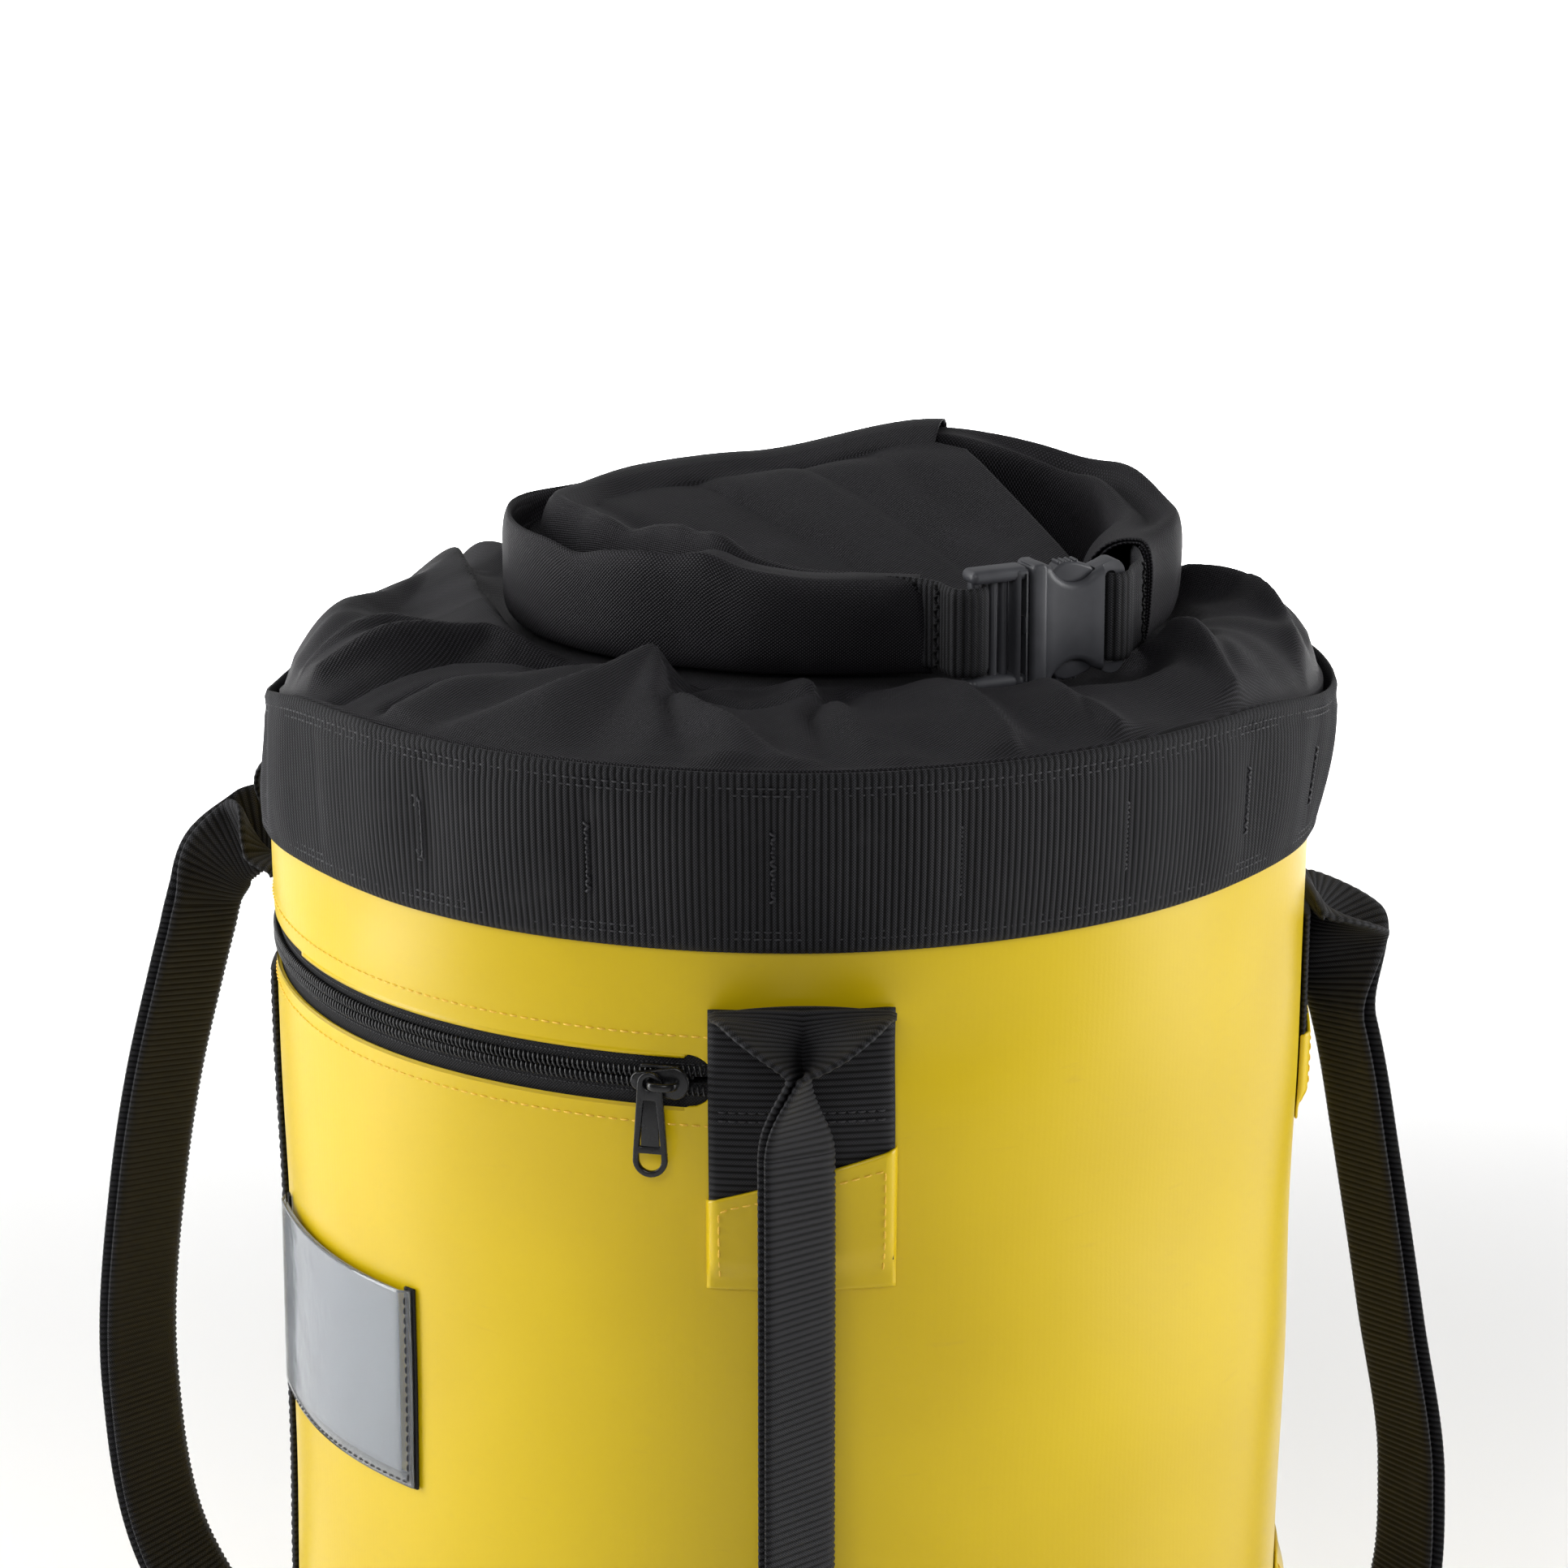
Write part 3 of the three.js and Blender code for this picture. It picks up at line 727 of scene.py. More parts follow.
def band_waves(azimuth, height):
    """How far the rim band stands off the wall: it flares, and bulges between its bar tacks."""
    share = (height - BAND_FOOT) / (RIM_Z - BAND_FOOT)
    angle = np.radians(azimuth)
    waves = 1.7 * MM * np.abs(np.sin(math.pi * (azimuth - FIRST_TACK) / TACK_SPACING)) ** 0.8
    waves = waves + 0.5 * MM * np.sin(23 * angle + 1.3 * np.sin(7 * angle))
    return BAND_FLARE * share**1.5 + waves * np.sin(math.pi * share)


def band_lift(height):
    """The lift of a seam on the rim band's outside."""
    share = np.clip((height - BAND_FOOT) / (RIM_Z - BAND_FOOT), 0, 1)
    return BAND_LIFT + BAND_FLARE * share**1.5 + WEBBING / 2


def make_bands():
    """The rim band, the band inside it and the base binding, each with its lines of stitching."""
    edge, between = 4 * MM, 2 * MM
    places = round_the_bag(BAND_FOOT, RIM_Z, BAND_LIFT, 26)
    grid = on_wall(*places, BAND_LIFT + band_waves(*places))
    band = strip("rim_band_webbing", grid, WEBBING, WEB, True, RIB_PITCH, groove=[edge, edge + between])
    keep(band, "bag", "webbing", "rim_band")
    azimuths = np.linspace(-180, 180, 720)
    rows = []
    for height in (BAND_FOOT + edge, BAND_FOOT + edge + between, RIM_Z - edge - between, RIM_Z - edge):
        rows.append(seam_on_wall(azimuths, height, band_lift(height)))
    keep(stitches("rim_band_stitches", rows, BLACK_THREAD, 2.8 * MM), "bag", "webbing")
    inner_lift = -3.25 * MM
    grid = on_wall(*round_the_bag(*span_of("inner_rim_band"), inner_lift, 10), inner_lift)
    keep(strip("inner_band_webbing", grid, WEBBING, WEB, True, RIB_PITCH), "bag", "webbing", "inner_rim_band")
    low, high = span_of("base_binding")
    grid = on_wall(*round_the_bag(low, high, BAND_LIFT, 14), BAND_LIFT)
    binding = strip("base_binding_webbing", grid, WEBBING, WEB, True, RIB_PITCH, groove=[edge])
    keep(binding, "bag", "webbing", "base_binding")
    rows = [seam_on_wall(azimuths, h, BAND_LIFT + WEBBING / 2 + 0.1 * MM) for h in (low + edge, high - edge)]
    keep(stitches("base_binding_stitches", rows, BLACK_THREAD, 3.0 * MM), "bag", "webbing")


def zigzag(azimuth, low, high, half_width, turns):
    """A zigzag of thread up the rim band."""
    heights = np.linspace(low, high, 2 * turns + 1)
    sides = np.where(np.arange(2 * turns + 1) % 2, 1, -1) * degrees_of(half_width)
    return seam_on_wall(azimuth + sides, heights, band_lift(heights) + 0.15 * MM)


def make_bar_tacks():
    """Bar tacks that divide the rim band into lashing loops, and the crossed box that ends it."""
    middle = (BAND_FOOT + RIM_Z) / 2 - 1 * MM
    seams = []
    for index in range(17):
        azimuth = FIRST_TACK + TACK_SPACING * index
        seams.append(zigzag(azimuth, middle - 10 * MM, middle + 10 * MM, 1.1 * MM, 7))
    keep(stitches("rim_bar_tacks", seams, BLACK_THREAD, 2.4 * MM, 0.9, 0.42 * MM), "bag", "webbing")
    box_azimuth = -43.0
    size = np.array([degrees_of(7 * MM), 9 * MM])
    corners = np.array([(-1, -1), (1, -1), (1, 1), (-1, 1), (-1, -1), (1, 1), (1, -1), (-1, 1)])
    azimuths, heights = ([box_azimuth, middle] + size * joined_up(corners, 12)).T
    seam = seam_on_wall(azimuths, heights, band_lift(heights) + 0.2 * MM)
    keep(stitches("rim_box_stitches", [seam], BLACK_THREAD, 2.4 * MM, 0.9, 0.36 * MM), "bag", "webbing")


def make_wall_strips():
    """The back seam, the side binding and the gear loop."""
    low, high = span_of("back_seam_strip")
    grid = upright(np.linspace(167, 180, 16), np.linspace(low, high, 90), 0.7 * MM)
    keep(strip("back_seam", grid, 1 * MM, TARPAULIN), "bag", "tarpaulin", "back_seam_strip")
    heights = np.linspace(low + 4 * MM, high - 4 * MM, 80)
    rows = [seam_on_wall(azimuth, heights, 1.25 * MM) for azimuth in (168.6, 178.4)]
    keep(stitches("back_seam_stitches", rows, YELLOW_THREAD), "bag", "tarpaulin")
    low, high = span_of("side_binding")
    grid = upright(np.linspace(-95, -87.2, 12), np.arange(low, high, RIB_PITCH / 5), 0.4 * MM + WEBBING / 2)
    keep(strip("side_binding_webbing", grid, WEBBING, WEB, rib=RIB_PITCH), "bag", "webbing", "side_binding")
    heights = np.linspace(low + 3 * MM, high - 3 * MM, 90)
    rows = [seam_on_wall(azimuth, heights, 2.2 * MM) for azimuth in (-93.8, -88.4)]
    keep(stitches("side_binding_stitches", rows, BLACK_THREAD, 3 * MM), "bag", "webbing")
    path = smooth_path(np.array([(3.4, 401), (6.2, 396), (6.6, 389), (4.6, 381)]) * MM, 0.36 * MM)
    width = np.linspace(degrees_of(7 * MM), -degrees_of(7 * MM), 8)
    grid = np.stack([on_wall(-96 + width, np.full(8, z), lift) for lift, z in path])
    loop = strip("gear_loop_webbing", grid, 1.4 * MM, WEB, rib=1.8 * MM, rib_height=0.15 * MM)
    keep(loop, "bag", "webbing", "gear_loop")


# ---- Fabric closure ----
# The middle of the rolled fabric, from its left end at the front, round the back, to its right end.
ROLL_PATH = [
    (36, -67), (-12, -65), (-46, -50), (-69, -24), (-75, 4), (-58, 34),
    (-12, 51), (45, 52), (88, 32), (103, 0), (96.5, -35),
]
# At each of those points: the height of the upper edge, how deep its layers part along the top,
# how far the top leans out, and how much the inner side swells. All but the last are in millimetres.
ROLL_TOPS = [27.5, 31, 34, 32.5, 33, 30.5, 33.5, 43, 42, 35, 30]
ROLL_HOLLOWS = [0, 1, 7, 13, 14, 6, 0, 2, 12, 8, 0]
ROLL_LEANS = [0, 1, 1.5, 0.5, 0, 0, 0, 1, 2, 1, 0]
ROLL_SWELLS = [0, 0, 0, 0, 0, 0, 0, 0, 0, 0.9, 2.2]
# Rises and dips of the front arm's upper edge: distance along the path, height and spread.
ROLL_WAVES = [(58, 4.0, 8), (73, 1.5, 6), (96, -3.0, 9), (30, -1.0, 12), (330, -2.0, 12)]
ROLL_LENGTH = 407  # of the path, in millimetres
ROLL_THICKNESS = 15 * MM
ROLL_TURNS = 2.4
ROLL_HALF = 17.2 * MM
LAYER_GAP = 1.35 * MM


def at_path(values, share):
    """Values given at the path's points, read smoothly at shares of its length."""
    along = travelled(ROLL_PATH)
    place = np.interp(share * along[-1], along, np.arange(len(along)))
    whole = np.clip(place.astype(int), 0, len(values) - 2)
    part = smoothstep(0, 1, place - whole)
    values = np.asarray(values, float)
    return values[whole] * (1 - part) + values[whole + 1] * part


def roll_top(share):
    """Height of the roll's upper edge above its foot, in millimetres."""
    top = at_path(ROLL_TOPS, share)
    for at, rise, spread in ROLL_WAVES:
        top = top + rise * np.exp(-(((share * ROLL_LENGTH - at) / spread) ** 2))
    return top


def flattened_spiral():
    """The roll's section: the turn at each point, how far it is across, and its share of the height."""
    turn = np.linspace(0, 2 * math.pi * ROLL_TURNS, round(56 * ROLL_TURNS))[None, :]
    angle = -0.62 * math.pi - turn
    inwards = LAYER_GAP * turn / (2 * math.pi)
    across = signed_power(np.cos(angle), 0.62) * (ROLL_THICKNESS / 2 - inwards)
    up = signed_power(np.sin(angle), 0.5) * (ROLL_HALF - 0.8 * inwards)
    return turn, across, (up + ROLL_HALF) / (2 * ROLL_HALF)


def make_roll():
    """The rolled fabric: a flattened spiral swept along its path."""
    path = smooth_path(np.array(ROLL_PATH) * MM, 2.0 * MM)
    share = np.linspace(0, 1, len(path))[:, None]
    run = unit(np.gradient(path, axis=0))
    inward = -beside(run)
    turn, across, height_share = flattened_spiral()
    ends = 1 - 0.3 * smoothstep(0.05, 0.0, share) - 0.3 * smoothstep(0.95, 1.0, share)
    swell = 1 + at_path(ROLL_SWELLS, share) * (across > 0) * np.sin(math.pi * height_share) ** 0.5
    offset = across * ends * swell - at_path(ROLL_LEANS, share) * MM * height_share
    bell = np.exp(-(((across - 0.6 * MM) / (4.6 * MM)) ** 2))
    sunk = smoothstep(-5.2 * MM, -2.6 * MM, across)
    groove = np.where(share < 0.6, sunk, bell) * smoothstep(0.4, 0.95, height_share)
    level = ROLL_BOTTOM + 0.3 * MM + height_share * roll_top(share) * MM
    level = level - at_path(ROLL_HOLLOWS, share) * MM * groove - 0.22 * np.maximum(offset - 8 * MM, 0)
    along = share * 400 * MM
    soft = np.sin(along / 0.0105 + 60 * level) * np.sin(along / 0.019 - 75 * level + 0.9 * turn)
    offset = offset + 0.55 * MM * soft * smoothstep(0, 0.25, height_share)
    wave = np.sin(math.pi * height_share) * np.sin(along / 0.027 + 0.4)
    offset = offset + np.sign(across) * 1.1 * MM * wave
    end_slant = 3.5 * MM * (1 - height_share) * (smoothstep(0.03, 0, share) - smoothstep(0.97, 1, share))
    grid = np.stack([
        path[:, 0:1] + inward[:, 0:1] * offset - run[:, 0:1] * end_slant,
        path[:, 1:2] + inward[:, 1:2] * offset - run[:, 1:2] * end_slant,
        level,
    ], axis=2)
    roll = build("roll_fabric", grid, grid_faces(*grid.shape[:2]), FABRIC, cloth_measures(grid))
    thicken(roll, 0.55 * MM)
    keep(roll, "bag", "collar_fabric", "roll")


# Folds of the skirt, each a crest line of plan places with its rise there, in millimetres, then how
# far it spreads on the left and on the right of the line's direction. A small spread makes a sharp drop.
SKIRT_FOLDS = [
    ([(-100, 52, 8), (-93, 10, 10), (-86, -22, 10), (-77, -52, 6), (-66, -70, 1)], 4, 16),
    ([(-136, -40, 2), (-124, -10, 4), (-110, 12, 6), (-98, 30, 5)], 14, 10),
    ([(-132, -50, 3), (-112, -38, 6), (-92, -40, 4), (-80, -52, 2)], 9, 5),
    ([(-138, -66, 5), (-114, -58, 8), (-84, -52, 8), (-60, -62, 4), (-40, -72, 1)], 10, 4),
    ([(-108, -100, 3), (-84, -86, 5), (-60, -80, 5), (-34, -77, 3)], 4, 12),
    ([(-92, -116, 2), (-66, -108, 5), (-48, -96, 7), (-37, -86, 9)], 6, 12),
    ([(-37, -86, 9), (-33, -96, 8), (-31, -108, 6), (-22, -122, 5), (-10, -137, 4), (0, -147, 2)], 3, 13),
    ([(2, -76, 3), (6, -92, 5), (13, -112, 4), (20, -134, 2)], 4, 9),
    ([(38, -84, 3), (48, -102, 4.5), (58, -126, 3)], 4, 10),
    ([(70, -86, 3), (78, -102, 5), (88, -116, 3)], 4, 9),
    ([(100, -34, 3), (112, -54, 7), (124, -84, 6), (129, -98, 3)], 10, 5),
    ([(98, 24, 4), (116, 24, 8), (130, 14, 9), (140, -8, 7), (142, -34, 4)], 12, 4),
    ([(60, 78, 4), (72, 100, 5), (84, 120, 3)], 7, 11),
    ([(10, 80, 5), (14, 104, 6), (12, 134, 3)], 10, 6),
    ([(-40, 76, 5), (-52, 98, 6), (-62, 124, 3)], 6, 12),
    ([(-84, 62, 5), (-96, 82, 6), (-106, 98, 3)], 10, 6),
    ([(36, 78, 3), (44, 112, 4), (48, 136, 2)], 5, 9),
]
# Creases pressed into the skirt, as lines of x, y and depth, and how far each spreads to its two sides.
SKIRT_CREASES = [
    ([(-132, -86, 2), (-115, -73, 4), (-93, -62, 5), (-63, -65, 5), (-34, -79, 3)], 5, 3),
    ([(-113, -101, 1), (-106, -92, 4), (-96, -85, 4.5), (-76, -84, 3), (-61, -78, 1.5)], 2.5, 4.5),
    ([(-30, -132, 1.5), (-33, -110, 4.5), (-30, -88, 6), (-22, -75, 3)], 2.5, 5),
    ([(8, -96, 1.5), (-11, -102, 3), (-26, -92, 4)], 5, 3),
    ([(8, -142, 1.5), (6, -115, 4), (11, -90, 4.5), (17, -79, 2)], 3, 6),
    ([(84, -122, 1), (77, -98, 3.5), (72, -85, 2)], 3, 4),
    ([(124, -84, 1), (119, -62, 2.5), (114, -39, 4), (107, -22, 3)], 4, 3),
    ([(145, -34, 1), (144, -18, 2.5), (136, 10, 3), (119, 30, 2)], 3, 4),
    ([(50, 80, 3), (56, 108, 4), (60, 130, 1)], 3, 5),
    ([(-20, 80, 3), (-24, 106, 4), (-30, 130, 1)], 5, 3),
    ([(-78, 62, 3), (-86, 88, 4), (-100, 104, 1)], 3, 5),
]
# How far the skirt puffs up between the rim and the roll: azimuth and height in millimetres.
SKIRT_PUFFS = [
    (-180, 7), (-150, 6), (-125, 4), (-110, 6), (-98, 13), (-86, 19), (-74, 12), (-64, 5), (-45, 3),
    (-20, 4), (0, 3), (25, 3), (45, 4), (60, 8), (75, 13), (90, 15), (105, 11), (120, 8), (135, 6),
    (160, 6), (180, 7),
]
# How near the rim the puff is highest: azimuth, and the power that moves its top outwards.
PUFF_SKEWS = [
    (-180, 1), (-130, 1.2), (-105, 1.8), (-85, 2.6), (-66, 1.6), (-45, 1), (45, 1), (70, 1.9), (90, 2.5),
    (115, 2.2), (150, 1.2), (180, 1),
]


def line_rise(x, y, line, left, right):
    """How a fold lifts the points near it, spreading differently to the two sides of its line."""
    line = np.asarray(line, float)
    rise = np.zeros_like(x)
    for (x0, y0, r0), (x1, y1, r1) in zip(line[:-1], line[1:]):
        run = np.array([x1 - x0, y1 - y0])
        share = np.clip(((x - x0) * run[0] + (y - y0) * run[1]) / (run @ run), 0, 1)
        away_x, away_y = x - x0 - share * run[0], y - y0 - share * run[1]
        side = (run[0] * away_y - run[1] * away_x) / np.linalg.norm(run)
        spread = right + (left - right) * smoothstep(-1.5, 1.5, side)
        away = np.hypot(away_x, away_y)
        rise = np.maximum(rise, (r0 + (r1 - r0) * share) * np.exp(-((away / spread) ** 1.5)))
    return rise


def distance_to_roll(x, y):
    """How far plan places are from the middle of the roll, in millimetres."""
    return np.min([np.hypot(x - px, y - py) for px, py in smooth_path(ROLL_PATH, 4.0)], axis=0)


def skirt_height(x, y):
    """Height of the skirt over a place on the bag, in millimetres, before the rim settles."""
    out = np.hypot(x, y)
    azimuth = np.degrees(np.arctan2(x, -y))
    rise = np.zeros_like(x)
    for line, left, right in SKIRT_FOLDS:
        lifted = line_rise(x, y, line, left, right)
        rise = np.maximum(rise, lifted) + 0.3 * np.minimum(rise, lifted)
    for line, left, right in SKIRT_CREASES:
        rise = rise - line_rise(x, y, line, left, right)
    share = np.clip((out - 84) / 66, 0, 1)
    puff = round_table(SKIRT_PUFFS, azimuth) * np.sin(math.pi * share ** round_table(PUFF_SKEWS, azimuth))
    turn = np.radians(azimuth)
    gathers = 0.8 * np.sin(31 * turn + 2.4 * np.sin(5 * turn)) * smoothstep(105, 142, out)
    gathers = gathers + 0.5 * np.sin(x / 7.3 + y / 11 + 2 * np.sin(y / 23)) * np.sin(y / 8.1 - x / 17)
    tuck = smoothstep(150, 145.5, out)
    free = smoothstep(8.5, 15.0, distance_to_roll(x, y))
    folds = (1.15 * rise + puff + gathers) * tuck * (0.05 + 0.95 * free)
    height = 429.6 + 2.5 * smoothstep(150, 120, out) + folds
    under_roll = np.minimum(height, 433.2 + 60 * free)
    under_buckle = smoothstep(24, 16, np.hypot((x - 72) / 1.5, y + 66))
    return under_roll * (1 - under_buckle) + np.minimum(height, 431.2) * under_buckle


def make_skirt():
    """The skirt: tucked down between the band and the wall, then gathered in to the roll."""
    radii = np.concatenate([[149.9, 149.9, 149.7, 149.2], np.arange(148.4, 4, -1.5)])
    azimuths = np.arange(540) * 360 / 540 - 180
    radius, azimuth = np.meshgrid(radii, azimuths, indexing="ij")
    turn = np.radians(azimuth)
    height = skirt_height(radius * np.sin(turn), -radius * np.cos(turn))
    height[0] = 416
    height[1] = 424
    near_rim = smoothstep(88, 149, radius)
    drop = round_table(RIM_DROPS, azimuth) * near_rim
    radius = radius - round_table(RIM_LEANS, azimuth) * smoothstep(110, 149, radius)
    grid = np.stack([radius * np.sin(turn), -radius * np.cos(turn), height - drop], axis=2) * MM
    skirt = build(
        "collar_skirt_fabric", grid, grid_faces(*grid.shape[:2], False, True), FABRIC, plan_measures(grid),
    )
    thicken(skirt, 0.55 * MM)
    keep(skirt, "bag", "collar_fabric", "collar_skirt")


def make_stiffener():
    """The stiff strip in the middle of the roll, low enough to stay covered where the layers part."""
    path = smooth_path(np.array(ROLL_PATH) * MM, 2.0 * MM)[4:-4]
    heights = ROLL_BOTTOM + np.linspace(4 * MM, 15 * MM, 5)
    grid = fence(path, heights)
    keep(strip("roll_stiffener_strip", grid, 1.6 * MM, STIFFENER), "bag", "stiffener", "roll_stiffener")


PANEL_END = 0.712  # share of the roll's path where the panel's right edge crosses the back
PANEL_EDGE = [(84, -30), (51, 37)]  # the folded right edge, front and back
# How the panel leaves the roll: distance outside the roll's middle and height above its top, where it
# lies over the back of the roll, and where it dips into the hollow at the left and front.
OVER_BACK = [
    (8.6, -38), (9.0, -30), (9.4, -20), (9.2, -10), (8.6, -4.5), (7.2, -1.4), (4.6, 0.4), (1.5, 1.1),
    (-1.5, 1.0), (-4.5, 0.2), (-7.5, -1.4), (-10.5, -3.2),
]
IN_HOLLOW = [
    (0.0, -18), (-0.2, -15), (-0.6, -12), (-1.0, -9), (-1.6, -6), (-2.4, -3.4), (-3.4, -1.2), (-4.6, 0.3),
    (-6.0, 0.7), (-7.6, 0.1), (-9.6, -1.5), (-11.6, -3.4),
]
HOLLOW_WIDTHS = [0, 1.5, 10, 9.5, 3, 0, 0, 0, 0, 0, 0]  # of the hollow, at each point of the roll's path
# Creases pressed into the panel, given as the skirt's are.
PANEL_CREASES = [
    ([(-34, 44, 1.2), (-8, 14, 2.0), (24, -24, 1.2)], 3.5, 7),
    ([(-4, 46, 1.0), (22, 16, 1.8), (54, -26, 1.0)], 7, 3),
    ([(-62, 22, 1.0), (-38, 0, 1.8), (-6, -34, 1.2)], 4, 8),
    ([(18, 48, 1.0), (40, 20, 1.4), (62, -8, 1.0)], 4, 8),
]


def make_panel():
    """The front panel: it rises inside the ring, goes over the back of the roll and down behind it."""
    path = smooth_path(ROLL_PATH, 1.0)
    run = unit(np.gradient(path, axis=0))
    outward = beside(run)
    used = np.arange(4, round(PANEL_END * (len(path) - 1)))
    share = (used / (len(path) - 1))[:, None]
    top = ROLL_BOTTOM / MM + roll_top(share) + 0.4
    over = smoothstep(0.40, 0.50, share)
    front = smoothstep(0.17, 0.08, share)
    width = at_path(HOLLOW_WIDTHS, share)
    rows = []
    for (back_out, back_up), (hollow_out, hollow_up) in zip(OVER_BACK, IN_HOLLOW):
        out = back_out * over + (hollow_out - width) * (1 - over)
        rise = back_up * over + hollow_up * (1 - over) - 2.6 * front
        rows.append(np.column_stack([path[used] + outward[used] * out, top + rise]))
    lip = rows[-1]
    target = np.linspace(*np.array(PANEL_EDGE), len(lip))
    for step in np.linspace(0, 1, 91)[1:]:
        place = lip[:, :2] + (target - lip[:, :2]) * step
        away = np.linalg.norm(place - lip[:, :2], axis=1)
        rows.append(np.column_stack([place, panel_slope(*place.T, away, lip)]))
    grid = np.stack(rows, axis=1)
    edge = grid[:, -1]
    inward = unit(np.column_stack([grid[:, -2, :2] - edge[:, :2], np.zeros(len(edge))]))
    hem = []
    for angle in np.linspace(0, math.pi, 7)[1:]:
        hem.append(edge - inward * 1.3 * math.sin(angle) - np.array([0, 0, 1.3]) * (1 - math.cos(angle)))
    for depth in (2, 5, 9, 14, 20):
        hem.append(edge + inward * depth - np.array([0, 0, 2.6 + 0.1 * depth]))
    grid = np.concatenate([grid, np.stack(hem, axis=1)], axis=1) * MM
    panel = build("collar_panel_fabric", grid, grid_faces(*grid.shape[:2]), FABRIC, plan_measures(grid))
    thicken(panel, 0.55 * MM)
    keep(panel, "bag", "collar_fabric", "collar_panel")


def panel_slope(x, y, away, lip):
    """Height of the sloping panel, meeting the lip it leaves."""
    def plane(px, py):
        climb = 0.305 + 0.10 * smoothstep(-25, 48, px)
        return 443 + climb * (py + 40) + 4 * smoothstep(40, 85, px) + 1.0 * np.sin(px / 19 + py / 31)

    height = plane(x, y)
    for line, left, right in PANEL_CREASES:
        height = height - line_rise(x, y, line, left, right)
    step_down = lip[:, 2] - plane(*lip[:, :2].T)
    return height + step_down * np.exp(-((away / 16) ** 1.3))


# ---- Handles ----
HANDLE_HALF = 25 * MM  # half the width of its webbing
STRAP_END = 44 * MM  # length of each end of a strap, a piece apart from the strap's body
STRAP_COLUMNS = 29  # points across a strap
COVER_HALF = 25.8 * MM
COVER_SLANT = 15 * MM  # how far the inner edge of a cover rises from one side to the other
# Each strap's path is [distance from the axis, height] in millimetres, as in the frame. fold is how far
# along the webbing has folded in two, turn how far the folded strap has turned to lie flat, in degrees.
STRAPS = {
    "front_handle": {
        "path": [
            (151.2, 362.4), (151.8, 364.4), (153.6, 365.0), (157.5, 361), (162, 349), (167, 325), (170, 230),
            (167, 130), (163, 90), (157.5, 69), (153.6, 65.0), (151.8, 65.6), (151.2, 67.6),
        ],
        "fold": (3, 24), "turn": 50, "turn_over": (16, 44), "open": 0.0,
    },
    "left_handle": {
        "path": [
            (151.2, 347), (151.8, 349), (153.6, 349.4), (159, 346), (168.5, 343.5), (177, 340), (183, 332),
            (187, 319), (192, 301), (198.5, 276), (206, 236), (211, 170), (200, 112), (180, 84),
            (161, 70), (153.8, 65.2), (151.8, 65.6), (151.2, 67.6),
        ],
        "fold": (3, 24), "turn": -55, "turn_over": (16, 44), "open": 0.03,
    },
    "right_handle": {
        "path": [
            (151.2, 345), (151.8, 347), (153.2, 347.6), (155, 343), (157, 333), (160.2, 318), (165.2, 297),
            (171, 265), (180, 212), (188, 160), (184, 112), (170, 88), (158, 70),
            (153.6, 65.2), (151.8, 65.6), (151.2, 67.6),
        ],
        "fold": (3, 26), "turn": 56, "turn_over": (12, 46), "open": 0.03,
    },
}


def strap_grid(name):
    """The middle surface of a handle's strap: flat at both patches, folded along its length between."""
    facts = STRAPS[name]
    path = smooth_path(np.array(facts["path"]) * MM, RIB_PITCH / 6)
    along = travelled(path)
    to_end = np.minimum(along, along[-1] - along) / MM
    run = unit(np.gradient(path, axis=0))
    outward = beside(run)
    folded = smoothstep(*facts["fold"], to_end)
    spread = math.pi * (1 - folded * (1 - facts["open"]))
    turned = np.radians(facts["turn"]) * smoothstep(*facts["turn_over"], to_end)
    reach = np.linspace(-HANDLE_HALF, HANDLE_HALF, STRAP_COLUMNS)
    deep = np.abs(reach)[None, :]
    settled = folded * (0.25 + 0.75 * np.abs(np.sin(turned)))
    out = deep * np.cos(spread / 2)[:, None] - HANDLE_HALF / 2 * settled[:, None]
    gap = 1.35 * MM * (1 - np.exp(-deep / (1.6 * MM)))
    aside = np.sign(reach)[None, :] * (gap * folded[:, None] + deep * np.sin(spread / 2)[:, None])
    out = out - (1 - folded)[:, None] * aside**2 / (2 * RADIUS)
    cos, sin = np.cos(turned)[:, None], np.sin(turned)[:, None]
    off_plane = out * cos + aside * sin
    sideways = aside * cos - out * sin
    distance = path[:, 0:1] + outward[:, 0:1] * off_plane
    level = path[:, 1:2] + outward[:, 1:2] * off_plane
    away, side = radial(HANDLES[name]), radial(HANDLES[name] + 90)
    flat = away * distance[..., None] + side * sideways[..., None]
    return flat + [0, 0, 1] * level[..., None], along


